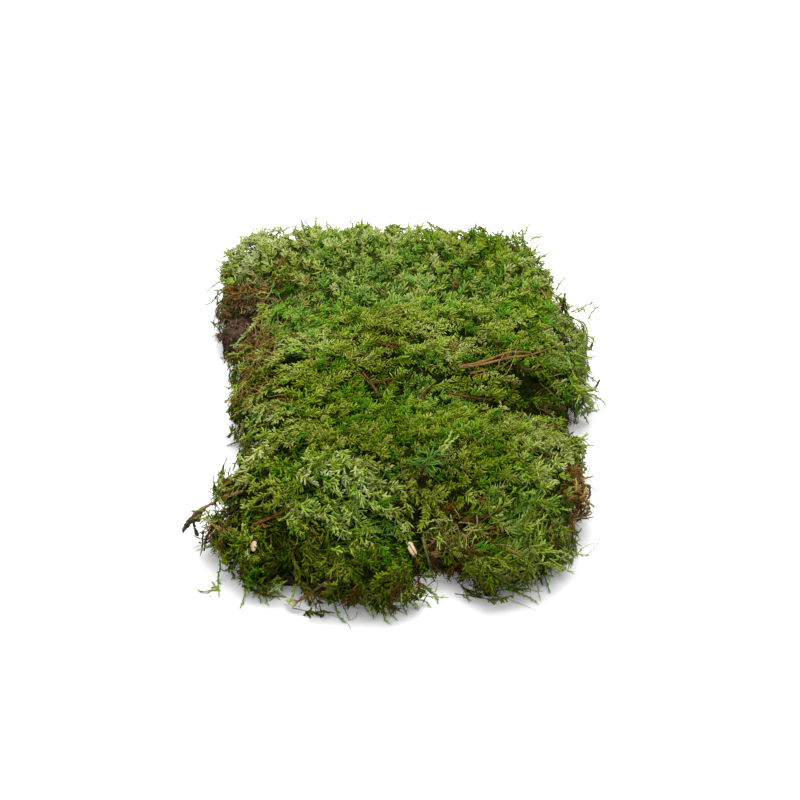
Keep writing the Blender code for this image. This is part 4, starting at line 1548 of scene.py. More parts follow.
BUNCHES = (
    # the left tip, round the barked twig
    Bunch(LEAFY, (-113, -102, 22), (5, 5, 4), (-0.8, -0.5, -0.1), 9, 11, 0.55),
    Bunch(LEAFY, (-112, -108, 15), (5, 7, 7), (-0.8, -0.5, -0.3), 8, 11, 0.5),
    Bunch(CURL, (-113, -106, 16), (6, 8, 8), (-0.8, -0.3, -0.5), 22, 10, 0.1),
    Bunch(
        CURL, (-112, -112, 17), (7, 3, 7), (-0.5, -0.8, -0.3), 26, 8, 0.02, 0.9, 0.3, 0.02,
        1.1,
    ),
    Bunch(THREAD, (-116, -104, 20), (5, 6, 8), (-0.8, -0.3, -0.6), 10, 15, 0.16),
    Bunch(LEAFY, (-103, -84, 38), (7, 6, 3), (-0.7, -0.4, 0.2), 10, 8, 0.72),
    Bunch(CURL, (-104, -86, 37), (7, 5, 3), (-0.8, -0.4, 0.1), 14, 9, 0.2, 0.7),
    Bunch(HOOK, (-107, -112, 22), (6, 6, 8), (-0.6, -0.7, -0.3), 26, 10, 0.11, 0.8),
    Bunch(LEAFY, (-122, -98, 24), (3, 2, 2), (-0.7, -0.3, 0.6), 5, 9, 0.7),
    # the rear left corner and the top edge
    Bunch(LEAFY, (-110, 164, 50), (10, 10, 4), (-0.3, 0.1, 1.0), 12, 9, 0.88),
    Bunch(LEAFY, (-70, 172, 57), (24, 6, 3), (-0.1, 0.2, 1.0), 14, 9, 0.86, 0.6),
    Bunch(LEAFY, (0, 174, 56), (40, 6, 3), (0.0, 0.2, 1.0), 14, 9, 0.72, 0.7),
    Bunch(LEAFY, (76, 172, 51), (30, 6, 3), (0.1, 0.2, 1.0), 14, 9, 0.68, 0.7),
    Bunch(LEAFY, (101, 156, 42), (5, 12, 4), (0.5, 0.1, 0.8), 8, 8, 0.74, 0.7),
    # the left edge above and below the bare soil
    Bunch(LEAFY, (-125, 146, 36), (4, 10, 6), (-1.0, -0.1, 0.2), 14, 11, 0.74),
    Bunch(CURL, (-113, 122, 40), (13, 4, 3), (-0.6, -0.6, 0.0), 60, 7, 0.125, 0.8, 0.3, 0.03),
    Bunch(HOOK, (-113, 121, 40), (12, 4, 3), (-0.5, -0.7, -0.1), 22, 6, 0.12, 0.9, 0.3, 0.03),
    Bunch(
        CURL, (-113, 117, 33), (11, 4, 4), (-0.1, -0.8, -0.3), 50, 7, 0.045, 0.9, 0.3, 0.03,
        1.1,
    ),
    Bunch(HOOK, (-112, 116, 34), (11, 4, 4), (-0.1, -0.8, -0.3), 20, 6, 0.09, 0.9, 0.3, 0.03),
    Bunch(
        CURL, (-108, 112, 29), (9, 4, 5), (-0.1, -0.7, -0.5), 50, 6, 0.0, 0.9, 0.3, 0.01, 1.1,
    ),
    Bunch(THREAD, (-124, 108, 24), (4, 8, 6), (-0.9, -0.3, -0.3), 8, 6, 0.1, 0.8),
    Bunch(LEAFY, (-101, 106, 33), (3, 5, 3), (-0.6, -0.5, 0.1), 8, 8, 0.68, 0.5),
    Bunch(CURL, (-105, 78, 22), (4, 7, 5), (-0.5, -0.7, -0.6), 12, 10, 0.12),
    Bunch(HOOK, (-104, 60, 26), (6, 8, 5), (-0.5, -0.6, 0.2), 12, 10, 0.15, girth=0.8),
    Bunch(LEAFY, (-110, 40, 26), (4, 34, 8), (-1.0, -0.3, 0.0), 24, 10, 0.64, 0.7),
    # the right lobe, the rear right edge and the torn brown edge
    Bunch(LEAFY, (124, 62, 37), (4, 26, 5), (1.0, -0.2, 0.0), 24, 11, 0.78, 0.8, 0.6),
    Bunch(THREAD, (126, 62, 36), (5, 26, 8), (1.0, -0.1, 0.1), 10, 12, 0.62, 0.8),
    Bunch(LEAFY, (116, 100, 36), (5, 12, 5), (0.8, 0.2, 0.6), 10, 9, 0.74, 0.7),
    Bunch(LEAFY, (121, 18, 32), (3, 8, 5), (0.9, -0.3, -0.2), 20, 13, 0.72, 0.4, 0.5),
    Bunch(LEAFY, (124, 26, 18), (4, 10, 8), (1.0, -0.4, -0.3), 14, 11, 0.66, 0.7),
    Bunch(
        HOOK, (110, -84, 28), (4, 12, 8), (0.8, -0.4, 0.1), 26, 10, 0.165, 0.9, 0.3, 0.02,
        1.7,
    ),
    Bunch(CURL, (110, -76, 30), (3, 14, 6), (1.0, -0.2, 0.2), 10, 10, 0.17, 0.8, 0.3, 0.03),
    Bunch(
        HOOK, (108, -96, 16), (4, 8, 8), (0.8, -0.5, -0.3), 16, 10, 0.12, 0.8, 0.3, 0.06, 1.2,
    ),
    Bunch(LEAFY, (112, -48, 30), (4, 16, 6), (1.0, -0.1, 0.2), 14, 9, 0.78, 0.7),
    Bunch(CURL, (103, 6, 22), (9, 7, 4), (0.3, -0.6, 0.1), 26, 7, 0.04, 0.9, 0.3, 0.03),
    Bunch(LEAFY, (96, -10, 26), (14, 4, 4), (0.2, -0.8, 0.2), 16, 8, 0.62, 0.7),
    # the front: strings over the dip, and what hangs over the lips
    Bunch(HOOK, (32, -116, 27), (16, 8, 5), (0.4, -0.7, 0.1), 30, 9, 0.235, 0.9, 0.3, 0.02),
    Bunch(
        CURL, (31, -122, 22), (16, 6, 6), (0.4, -0.7, -0.1), 26, 9, 0.22, 0.9, 0.3, 0.03, 0.8,
    ),
    Bunch(
        THREAD, (36, -120, 23), (22, 8, 7), (0.4, -0.7, -0.2), 40, 14, 0.215, 0.8, girth=1.6,
    ),
    Bunch(BARE, (24, -122, 21), (12, 5, 5), (0.9, -0.5, 0.3), 10, 12, 0.15, 0.6, 0.1, 0.02),
    Bunch(LEAFY, (34, -116, 28), (16, 8, 4), (0.2, -0.8, 0.2), 14, 9, 0.7, 0.8),
    Bunch(LEAFY, (52, -141, 9), (16, 4, 6), (0.3, -0.9, -0.5), 16, 11, 0.6, 0.6),
    Bunch(CURL, (58, -134, 20), (18, 7, 7), (0.6, -0.7, -0.2), 20, 12, 0.16, 0.7),
    Bunch(LEAFY, (78, -134, 22), (14, 8, 7), (0.8, -0.6, -0.1), 30, 14, 0.62, 0.6),
    Bunch(LEAFY, (-10, -153, 10), (16, 4, 7), (0.3, -0.9, -0.4), 30, 12, 0.6, 0.6),
    Bunch(HOOK, (-38, -153, 10), (22, 3, 7), (-0.1, -0.9, -0.3), 18, 10, 0.1, 0.8, girth=0.9),
    Bunch(LEAFY, (-72, -144, 9), (24, 4, 6), (-0.3, -0.9, -0.4), 18, 11, 0.58, 0.6),
    # orange needles and threads that lie among the shoots
    Bunch(BARE, (-96, 76, 34), (10, 12, 3), (0.5, 0.8, 0.5), 10, 11, 0.14, 0.7, 0.1, 0.03),
    Bunch(THREAD, (-70, 60, 43), (30, 40, 5), (0.8, 0.2, 0.2), 30, 14, 0.15, 0.8, girth=1.4),
    Bunch(THREAD, (-98, 28, 36), (12, 46, 4), (0.7, 0.5, 0.3), 64, 11, 0.14, 0.9, girth=1.6),
    Bunch(CURL, (-105, 36, 34), (7, 42, 5), (-0.5, -0.3, 0.6), 30, 7, 0.13, 0.9, 0.3, 0.03),
    Bunch(THREAD, (30, 60, 50), (70, 60, 3), (0.9, 0.1, 0.15), 50, 13, 0.15, 0.8, girth=1.5),
    Bunch(THREAD, (20, -60, 47), (80, 40, 4), (0.7, -0.4, 0.2), 26, 12, 0.15, 0.9),
    Bunch(CURL, (-72, -112, 33), (30, 14, 6), (-0.3, -0.8, 0.1), 12, 10, 0.13, 0.9),
)


def smooth_way(points: Array, step: float) -> Array:
    """Even places along a smooth curve through the points.

    Args:
        points: Rows of x, y, z.
        step: Rough distance between places.

    Returns:
        The places, from the first point to the last.
    """
    ends = np.vstack([2 * points[0] - points[1], points, 2 * points[-1] - points[-2]])
    t = np.linspace(0, 1, 9)[:-1, None]
    dense = [points[:0]]
    for a, b, c, d in zip(ends, ends[1:], ends[2:], ends[3:]):
        square, cube = 2 * a - 5 * b + 4 * c - d, 3 * b - a - 3 * c + d
        dense.append((2 * b + (c - a) * t + square * t**2 + cube * t**3) / 2)
    curve = np.vstack([*dense, points[-1:]])
    run = np.concatenate([[0], np.cumsum(np.linalg.norm(np.diff(curve, axis=0), axis=1))])
    even = np.linspace(0, run[-1], max(3, 1 + round(run[-1] / step)))
    return np.stack([np.interp(even, run, axis) for axis in curve.T], -1)


@dataclass(frozen=True)
class StraySizes:
    """How one kind of stray shoot is built up along its way."""

    body: Shape
    step: float
    radius: float
    overlap: float  # length of a body piece, in steps
    twigs: int  # branchlets for each step
    twig: Shape
    twig_length: float
    twig_radius: float
    low: float  # painted shade and light of the whole shoot, at the root and at the tip
    high: float
    curl: float = 0.8  # how far a shoot of a bunch turns, in radians, at most


BUNCH_STEPS = 3  # of the way of a bunch's shoot
STRAY_SIZES = {
    LEAFY: StraySizes(NEEDLE, 0.0030, 0.00062, 1.7, 1, SPROUT, 0.0036, 0.00054, 0.50, 1.0),
    PLUME: StraySizes(WIRE, 0.0011, 0.00070, 1.6, 2, SPROUT, 0.0036, 0.00050, 0.45, 1.0),
    THREAD: StraySizes(WIRE, 0.0040, 0.00026, 1.3, 0, WIRE, 0.0, 0.0, 0.55, 0.9),
    BARE: StraySizes(STEM, 0.0040, 0.00050, 1.1, 0, WIRE, 0.0, 0.0, 0.55, 0.8),
    CURL: StraySizes(SPEAR, 0.0024, 0.00080, 1.7, 1, SPROUT, 0.0026, 0.00048, 0.35, 0.72, 2.4),
    HOOK: StraySizes(NEEDLE, 0.0019, 0.00058, 1.8, 0, WIRE, 0.0, 0.0, 0.45, 0.84, 4.2),
}


class StrayShoots:
    """All stray shoots, joined into one mesh."""

    TURNS, LENGTHS = (0.2, 1.0), (0.55, 1.3)  # of a bunch's shoots, in shares of the most
    TONE_SPREAD, SLIMMER, GIRTHS = 0.02, 0.45, (0.85, 1.15)  # slimmer at the tip by that share
    BENDS, RISE = (0, 0.12), 0.2  # of the body; the rise is in painted light, from root to tip
    TWIG_TURN, TWIG_LEANS, TWIG_PLACES = 0.5, (34, 60), (0, 0.9)  # radians, degrees, steps
    TWIG_BOW, TWIG_BENDS, TWIG_TAPER = 0.4, (0.0, 0.5), (1.1, 0.7)
    TWIG_LENGTHS, TWIG_GIRTHS = (0.6, 1.2), (0.8, 1.2)
    # painted light of the twigs, against their place on the body
    TWIG_LOW, TWIG_RISE = 0.85, 0.3

    def __init__(self, masters: MasterSet) -> None:
        """Starts with none.

        Args:
            masters: The shapes to copy.
        """
        self.joined = JoinedCopies("moss_stray_shoots", masters, seed=61)
        self.rng = np.random.default_rng(62)
        self.rows: dict[Shape, list[tuple]] = {}

    def put(self, shape: Shape, *row: object) -> None:
        """Notes one copy: root, heading, bow, length, radius, bend, tone, low, high."""
        self.rows.setdefault(shape, []).append(row)

    def strands(self, bunch: Bunch) -> list[Strand]:
        """Makes up the shoots of a bunch.

        Args:
            bunch: Where they grow, and how.

        Returns:
            Its shoots, each with a way of three steps.
        """
        rng, made = self.rng, []
        curl = STRAY_SIZES[bunch.kind].curl
        for _ in range(bunch.count):
            place = np.array(bunch.centre) + rng.uniform(-1, 1, 3) * bunch.spread
            heading = unit(unit(np.array(bunch.toward)) + rng.normal(0, bunch.fan, 3))
            turn = across(rng.normal(size=3), heading) * curl
            turn = turn * rng.uniform(*self.TURNS) / BUNCH_STEPS
            length = bunch.length * rng.uniform(*self.LENGTHS) / BUNCH_STEPS
            way = [tuple(place)]
            for _ in range(BUNCH_STEPS):
                heading = unit(heading + turn - np.array([0, 0, bunch.droop / BUNCH_STEPS]))
                place = place + heading * length
                way.append((place[0], place[1], max(place[2], 1.0)))
            tone = bunch.tone + rng.normal(0, bunch.tone_spread)
            made.append(Strand(bunch.kind, tone, tuple(way), bunch.girth))
        return made

    def lay(self, strand: Strand) -> None:
        """Lays one shoot along its way.

        Args:
            strand: The shoot.
        """
        rng, sizes = self.rng, STRAY_SIZES[strand.kind]
        places = smooth_way(np.array(strand.way, float) / 1000, sizes.step)
        runs = np.diff(places, axis=0)
        steps, headings = np.linalg.norm(runs, axis=1), unit(runs)
        side = across(rng.normal(size=3), headings[0])
        for index, (place, heading, step) in enumerate(zip(places, headings, steps)):
            share = index / len(headings)
            # painted light and shade, from the dark root to the light tip
            along = sizes.low + (sizes.high - sizes.low) * share
            tone = strand.tone + rng.normal(0, self.TONE_SPREAD)
            slim = sizes.radius * strand.girth * (1.0 - self.SLIMMER * share)
            slim = slim * rng.uniform(*self.GIRTHS)
            self.put(
                sizes.body, place, heading, rng.normal(size=3), step * sizes.overlap, slim,
                rng.uniform(*self.BENDS), tone, along, min(along + self.RISE, 1.0),
            )
            side = across(side, heading)
            for turn in range(sizes.twigs):
                around = math.pi * (turn + index % 2) + rng.normal(0, self.TWIG_TURN)
                out = side * math.cos(around) + np.cross(heading, side) * math.sin(around)
                lean = math.radians(rng.uniform(*self.TWIG_LEANS))
                first, loss = self.TWIG_TAPER
                self.put(
                    sizes.twig,
                    place + heading * step * rng.uniform(*self.TWIG_PLACES),
                    unit(heading * math.cos(lean) + out * math.sin(lean)),
                    heading + rng.normal(0, self.TWIG_BOW, 3),
                    sizes.twig_length * (first - loss * share) * rng.uniform(*self.TWIG_LENGTHS),
                    sizes.twig_radius * strand.girth * rng.uniform(*self.TWIG_GIRTHS),
                    rng.uniform(*self.TWIG_BENDS), tone,
                    along * self.TWIG_LOW, min(along + self.TWIG_RISE, 1.0),
                )

    def build(self, material: Material) -> Piece:
        """Lays every strand and bunch and joins them.

        Args:
            material: Their finish.

        Returns:
            The one piece they make.
        """
        for kind, rows in UPRIGHT_SHOOTS.items():
            for tone, y, *way in rows:
                self.lay(Strand(kind, tone, tuple((x, y, z) for x, z in zip(way[::2], way[1::2]))))
        for kind, tone, girth, *way in WINDING_SHOOTS:
            self.lay(Strand(kind, tone, tuple(zip(way[::3], way[1::3], way[2::3])), girth))
        for bunch in BUNCHES:
            for strand in self.strands(bunch):
                self.lay(strand)
        for shape, rows in self.rows.items():
            columns = [np.array(column, float) for column in zip(*rows)]
            self.joined.add(Copies(shape, *columns))
        return self.joined.build(material)


# ---- finishes
class NodeSketch:
    """Short ways to add and link shader nodes."""

    def __init__(self, name: str) -> None:
        """Starts with Blender's plain shader.

        Args:
            name: The material's name.
        """
        self.material = bpy.data.materials.new(name)
        self.material.use_nodes = True
        self.tree = self.material.node_tree
        self.shader = self.tree.nodes["Principled BSDF"]

    def add(self, kind: str, **settings: object) -> bpy.types.Node:
        """Adds a node.

        Args:
            kind: Blender's name for this type of node.
            **settings: Values of its inputs, or of its properties where it has no such input.

        Returns:
            The node.
        """
        node = self.tree.nodes.new(kind)
        for name, value in settings.items():
            if name in node.inputs:
                node.inputs[name].default_value = value
            else:
                setattr(node, name, value)
        return node

    def link(self, output: Socket, node: bpy.types.Node, name: str | int) -> None:
        """Links an output to a node's input."""
        self.tree.links.new(output, node.inputs[name])

    def ramp(self, value: Socket, stops: Stops) -> Socket:
        """Runs a value over a colour ramp.

        Args:
            value: Where on the ramp.
            stops: Its places and colours.

        Returns:
            The colour.
        """
        node = self.add("ShaderNodeValToRGB")
        elements = node.color_ramp.elements
        while len(elements) < len(stops):
            elements.new(0.5)
        for element, (place, colour) in zip(elements, stops):
            element.position = place
            element.color = (*colour, 1.0)
        self.link(value, node, "Fac")
        return node.outputs["Color"]

    def mask(self, value: Socket, low: float, high: float, most: float = 1.0) -> Socket:
        """Turns a value into a soft mask.

        Args:
            value: What decides.
            low: Where the mask is black.
            high: Where it is lightest.
            most: How light it gets.

        Returns:
            The mask.
        """
        return self.ramp(value, ((low, grey(0)), (high, grey(most))))

    def noise(self, scale: float, detail: float, stretch: Triple = (1, 1, 1)) -> Socket:
        """Adds noise in the piece's own space.

        Args:
            scale: How fine it is, per metre.
            detail: How many finer layers it has.
            stretch: How much finer still it is along x, y and z.

        Returns:
            The noise, about 0 to 1.
        """
        place = self.add("ShaderNodeTexCoord")
        mapping = self.add("ShaderNodeMapping", Scale=stretch)
        self.link(place.outputs["Object"], mapping, "Vector")
        node = self.add("ShaderNodeTexNoise", Scale=scale, Detail=detail)
        self.link(mapping.outputs["Vector"], node, "Vector")
        return node.outputs["Fac"]

    def mix(self, kind: str, amount: Socket | float, a: object, b: object) -> Socket:
        """Mixes two colours.

        Args:
            kind: Blender's name for the way of mixing.
            amount: Share of the second one.
            a: A colour or a socket.
            b: The second one.

        Returns:
            The mixed colour.
        """
        node = self.add("ShaderNodeMix", data_type="RGBA", blend_type=kind)
        for index, value in ((0, amount), (6, a), (7, b)):
            if isinstance(value, Socket):
                self.link(value, node, index)
            else:
                node.inputs[index].default_value = value if index == 0 else (*value, 1.0)
        return node.outputs[2]

    def span(self, value: Socket, low: float, high: float) -> Socket:
        """Maps a value to another range.

        Args:
            value: A value of 0 to 1.
            low: What 0 becomes.
            high: What 1 becomes.

        Returns:
            The new value.
        """
        node = self.add("ShaderNodeMapRange", **{"To Min": low, "To Max": high})
        self.link(value, node, "Value")
        return node.outputs["Result"]

    def reach(self, axis: str, low: float, high: float) -> Socket:
        """Runs from 0 to 1 across the piece.

        Args:
            axis: X, Y or Z.
            low: Where on the axis it is 0, in metres.
            high: Where it is 1.

        Returns:
            The value.
        """
        place = self.add("ShaderNodeTexCoord")
        split = self.add("ShaderNodeSeparateXYZ")
        self.link(place.outputs["Object"], split, "Vector")
        node = self.add("ShaderNodeMapRange", **{"From Min": low, "From Max": high})
        self.link(split.outputs[axis], node, "Value")
        return node.outputs["Result"]

    def finish(
        self, colour: Socket, roughness: Socket | float, specular: float,
        height: Socket, relief: tuple[float, float],
    ) -> Material:
        """Gives the shader its colour, sheen and relief.

        Args:
            colour: Base colour.
            roughness: Roughness, even or from nodes.
            specular: Specular level, even.
            height: Height of the relief.
            relief: Its strength, and its depth in metres.

        Returns:
            The material.
        """
        self.link(colour, self.shader, "Base Color")
        if isinstance(roughness, Socket):
            self.link(roughness, self.shader, "Roughness")
        else:
            self.shader.inputs["Roughness"].default_value = roughness
        self.shader.inputs["Specular IOR Level"].default_value = specular
        strength, distance = relief
        bump = self.add("ShaderNodeBump", Strength=strength, Distance=distance)
        self.link(height, bump, "Height")
        self.link(bump.outputs["Normal"], self.shader, "Normal")
        return self.material


@dataclass(frozen=True)
class MossFinish:
    """Damp living moss: the palette runs with UV x, and root to tip with UV y, which carries
    painted light and shade.
    """

    name: str = "moss"
    palette: Stops = (
        (0.00, (0.050, 0.024, 0.010)),
        (0.07, (0.150, 0.075, 0.024)),
        (0.14, (0.370, 0.170, 0.040)),
        (0.21, (0.330, 0.220, 0.070)),
        (0.25, (0.240, 0.200, 0.050)),
        (0.29, (0.085, 0.100, 0.006)),
        (0.33, (0.058, 0.165, 0.006)),
        (0.40, (0.093, 0.265, 0.010)),
        (0.47, (0.138, 0.310, 0.014)),
        (0.55, (0.182, 0.312, 0.014)),
        (0.65, (0.236, 0.330, 0.016)),
        (0.75, (0.298, 0.380, 0.038)),
        (0.87, (0.352, 0.412, 0.078)),
        (1.00, (0.425, 0.455, 0.145)),
    )
    # pale young tip colour, whitened further as painted glints
    tip: Colour = (0.50, 0.62, 0.25)
    ripening: Stops = (  # painted shade at the root and painted bluish highlights towards the tip, over the real darker old base, multiplied into the palette's colour
        (0.0, (0.155, 0.15, 0.03)),
        (0.3, (0.62, 0.66, 0.26)),
        (0.6, (0.96, 1.0, 1.0)),
        (0.78, (1.03, 1.07, 1.58)),
        (0.9, (1.03, 1.06, 1.85)),
    )
    # mixes in the tip colour near the tip: pale young tips and painted glints
    paling: Stops = ((0.6, grey(0)), (0.78, grey(0.13)), (0.92, grey(0.32)), (1.0, grey(0.8)))
    speckles: Stops = ((0.3, (0.78, 0.78, 0.72)), (0.7, (1.12, 1.1, 1.0)))
    roughness: tuple[float, float] = (0.32, 0.56)
    relief: tuple[float, float] = (0.5, 0.0004)

    def build(self) -> Material:
        """Makes the material.

        Returns:
            The material.
        """
        sketch = NodeSketch(self.name)
        uv = sketch.add("ShaderNodeUVMap", uv_map=UV_MAP)
        split = sketch.add("ShaderNodeSeparateXYZ")
        sketch.link(uv.outputs["UV"], split, "Vector")
        tone, along = split.outputs["X"], split.outputs["Y"]
        # painted light and shade from UV y, with the real ripening from root to tip
        ripe_and_lit = sketch.ramp(along, self.ripening)
        colour = sketch.mix("MULTIPLY", 1.0, sketch.ramp(tone, self.palette), ripe_and_lit)
        colour = sketch.mix("MIX", sketch.ramp(along, self.paling), colour, self.tip)
        speckle = sketch.noise(900, 2)
        colour = sketch.mix("MULTIPLY", 1.0, colour, sketch.ramp(speckle, self.speckles))
        rough = sketch.span(speckle, *self.roughness)
        return sketch.finish(colour, rough, 0.03, speckle, self.relief)


@dataclass(frozen=True)
class EarthFinish:
    """Crumbly matt humus, or the inside of the moss painted dark as shade."""

    name: str
    dark: Colour
    light: Colour
    fibre: Colour
    lit: tuple[Colour, Colour] | None = None  # painted light: its lighter dark and light towards the rear
    lit_from: tuple[str, float, float] = ("Y", 0.075, 0.105)
    contrast: tuple[float, float] = (0.32, 0.68)
    relief: tuple[float, float] = (0.9, 0.0015)

    def shades(self, sketch: NodeSketch, grain: Socket, dark: Colour, light: Colour) -> Socket:
        """Runs the grain from dark to light."""
        return sketch.ramp(grain, tuple(zip(self.contrast, (dark, light))))

    def build(self) -> Material:
        """Makes the material.

        Returns:
            The material.
        """
        sketch = NodeSketch(self.name)
        grain = sketch.noise(420, 6)
        colour = self.shades(sketch, grain, self.dark, self.light)
        threads = sketch.mask(sketch.noise(60, 8, (1.0, 7.0, 3.0)), 0.52, 0.60)
        colour = sketch.mix("MIX", threads, colour, self.fibre)
        if self.lit:
            lit = self.shades(sketch, grain, *self.lit)
            colour = sketch.mix("MIX", sketch.reach(*self.lit_from), colour, lit)
        return sketch.finish(colour, 0.92, 0.03, grain, self.relief)


@dataclass(frozen=True)
class WoodyFinish:
    """Bark, twigs, dry needles and wood, with a grain and soft blotches."""

    name: str
    dark: Colour
    light: Colour
    roughness: float
    blotches: Stops = ((0.3, (0.7, 0.66, 0.62)), (0.7, (1.15, 1.1, 1.05)))
    relief: tuple[float, float] = (0.6, 0.0005)

    def build(self) -> Material:
        """Makes the material.

        Returns:
            The material.
        """
        sketch = NodeSketch(self.name)
        grain = sketch.noise(500, 5)
        shade = sketch.ramp(sketch.noise(90, 2), self.blotches)
        colour = sketch.ramp(grain, ((0.3, self.dark), (0.7, self.light)))
        colour = sketch.mix("MULTIPLY", 1.0, colour, shade)
        rough = sketch.span(grain, self.roughness + 0.1, self.roughness - 0.1)
        return sketch.finish(colour, rough, 0.08, grain, self.relief)


@dataclass(frozen=True)
class BarkFinish:
    """Peeling bark: a tan stem that ends in dark lumps with rusty and lichen-green spots."""

    name: str
    dark: Colour = (0.014, 0.009, 0.006)
    brown: Colour = (0.085, 0.048, 0.024)
    tan: Colour = (0.38, 0.22, 0.085)
    rust: Colour = (0.34, 0.12, 0.022)
    lichen: Colour = (0.11, 0.16, 0.035)
    tan_ends: tuple[str, float, float] = ("X", -0.1275, -0.1245)  # axis, all dark, all tan
    streaks: Stops = ((0.36, (0.24, 0.20, 0.16)), (0.58, (1, 1, 1)))
    relief: tuple[float, float] = (0.8, 0.0006)

    def build(self) -> Material:
        """Makes the material.

        Returns:
            The material.
        """
        sketch = NodeSketch(self.name)
        grain = sketch.noise(700, 5)
        colour = sketch.ramp(grain, ((0.36, self.dark), (0.64, self.brown)))
        for scale, tint, edge in ((210, self.rust, 0.60), (260, self.lichen, 0.62)):
            spots = sketch.mask(sketch.noise(scale, 3), edge, edge + 0.05, 0.85)
            colour = sketch.mix("MIX", spots, colour, tint)
        streaks = sketch.ramp(sketch.noise(420, 4), self.streaks)
        bare = sketch.mix("MULTIPLY", 1.0, streaks, self.tan)
        colour = sketch.mix("MIX", sketch.reach(*self.tan_ends), colour, bare)
        return sketch.finish(colour, sketch.span(grain, 0.75, 0.5), 0.25, grain, self.relief)


# ---- limbs
Way = tuple[tuple[float, float, float, float], ...]  # x, y, z and radius, in millimetres


@dataclass(frozen=True)
class LimbStep:
    """A place on a twig's way and its radius there, in millimetres."""

    x: float
    y: float
    z: float
    radius: float

    @property
    def place(self) -> Vector:
        """The place in metres."""
        return Vector((self.x, self.y, self.z)) / 1000


@dataclass(frozen=True)
class Limb:
    """A twig: a chain of corners extruded along its ways, with a rough skin round them."""

    name: str
    ways: tuple[Way, ...]
    roughness: float
    grain: float = 0.0016

    @property
    def steps(self) -> list[list[LimbStep]]:
        """The steps of each way."""
        return [[LimbStep(*row) for row in way] for way in self.ways]

    def build(self, material: Material) -> Piece:
        """Models the twig.

        Args:
            material: Its finish.

        Returns:
            The twig.
        """
        start = self.steps[0][0].place
        Modeller.deselect()
        bpy.ops.mesh.primitive_plane_add(location=start)
        limb = bpy.context.object
        limb.name = self.name
        bpy.ops.object.mode_set(mode="EDIT")
        bpy.ops.mesh.select_all(action="SELECT")
        bpy.ops.mesh.merge(type="CENTER")
        for way in self.steps:
            self.select_at(limb, way[0].place - start)
            for here, there in zip(way, way[1:]):
                step = there.place - here.place
                bpy.ops.mesh.extrude_vertices_move(TRANSFORM_OT_translate={"value": step})
        bpy.ops.object.mode_set(mode="OBJECT")
        bpy.ops.object.transform_apply(location=True, rotation=False, scale=False)
        self.add_skin(limb)
        Modeller.apply_modifiers(limb)
        Modeller.coat(limb, material)
        return limb

    @staticmethod
    def select_at(limb: Piece, place: Vector) -> None:
        """Selects one corner, in edit mode.

        Args:
            limb: The twig so far.
            place: The corner's place in its mesh.
        """
        bpy.ops.mesh.select_all(action="DESELECT")
        bpy.ops.object.mode_set(mode="OBJECT")
        nearest = min(limb.data.vertices, key=lambda vertex: (vertex.co - place).length)
        nearest.select = True
        bpy.ops.object.mode_set(mode="EDIT")

    def add_skin(self, limb: Piece) -> None:
        """Adds the skin, its smoothing and its rough surface as modifiers.

        Args:
            limb: The chain of corners.
        """
        limb.modifiers.new("Skin", "SKIN")
        steps = [step for way in self.steps for step in way]
        for vertex, skin in zip(limb.data.vertices, limb.data.skin_vertices[0].data):
            nearest = min(steps, key=lambda step: (step.place - vertex.co).length)
            skin.radius = (nearest.radius / 1000, nearest.radius / 1000)
        limb.data.skin_vertices[0].data[0].use_root = True
        limb.modifiers.new("Round", "SUBSURF").levels = 2
        Modeller.roughen(limb, "lumps", self.grain, self.roughness)


# ---- pieces
class MossCarpet:
    """The living moss: joined shoots in several pieces, over a dark core."""

    PIECES = 6
    CORE_VOXEL = 0.0045
    CORE_DEPTH = 0.0085  # under the tips
    CORE_LOWEST = 0.0006
    CORE_FOOT = 0.03  # below this height the core is lowered too

    def __init__(self, masters: MasterSet) -> None:
        """Reads how the moss grows.

        Args:
            masters: The shapes to copy.
        """
        self.masters = masters
        self.habitat = Habitat(PATCHES, CREVICES)
        self.pieces: list[Piece] = []

    def build(self, material: Material) -> None:
        """Lays all shoots and joins them, from front to rear, into pieces.

        Args:
            material: The living moss.
        """
        surface = CarpetSurface(seed=3)
        joined = [
            JoinedCopies(f"moss_shoots_{index + 1}", self.masters, seed=20 + index)
            for index in range(self.PIECES)
        ]
        for seed, sizes in enumerate((LEADING, UNDERGROWTH)):
            spots = surface.spots(self.habitat, sizes)
            LOG.info("%d shoots", len(spots.place))
            layer = ShootLayer(self.habitat, sizes, seed=4 + seed)
            order = np.argsort(spots.place[:, 1])
            for piece, rows in zip(joined, np.array_split(order, self.PIECES)):
                for copies in layer.lay(Spots(spots.place[rows], spots.normal[rows])):
                    piece.add(copies)
        self.pieces = [piece.build(material) for piece in joined]
        self.pieces.append(StrayShoots(self.masters).build(material))

    def build_core(self, material: Material) -> None:
        """Makes the inside that closes the gaps between the shoots, near black as painted shade.

        Args:
            material: Its finish.
        """
        core = Modeller.merged_copy("moss_core", "moss_carpet", "humus_base")
        Modeller.remesh(core, self.CORE_VOXEL, 4)
        shrink = core.modifiers.new("Shrink", "DISPLACE")
        shrink.strength = -self.CORE_DEPTH
        shrink.mid_level = 0.0
        smooth = core.modifiers.new("Smooth", "SMOOTH")
        smooth.iterations = 3
        Modeller.apply_modifiers(core)
        places = np.array([vertex.co for vertex in core.data.vertices], float)
        growth = self.habitat.read(places)
        beyond = np.stack([growth["right"], growth["rear"], growth["up"]], -1)
        places += beyond * np.clip(places[:, 2:] / 0.02, 0, 1)
        places[:, 2] -= self.CORE_DEPTH * np.maximum(0.0, 1 - places[:, 2] / self.CORE_FOOT)
        places[:, 2] = np.maximum(places[:, 2], self.CORE_LOWEST)
        for vertex, place in zip(core.data.vertices, places):
            vertex.co = place
        Modeller.coat(core, material)
        self.pieces.append(core)


@dataclass(frozen=True)
class Litter:
    """Crumbs or fibres that lie on the soil; each pair is a range."""

    shape: Shape
    number: int
    length: tuple[float, float]
    radius: tuple[float, float]
    tone: tuple[float, float]
    lift: float  # how far they stand up
    bend: float


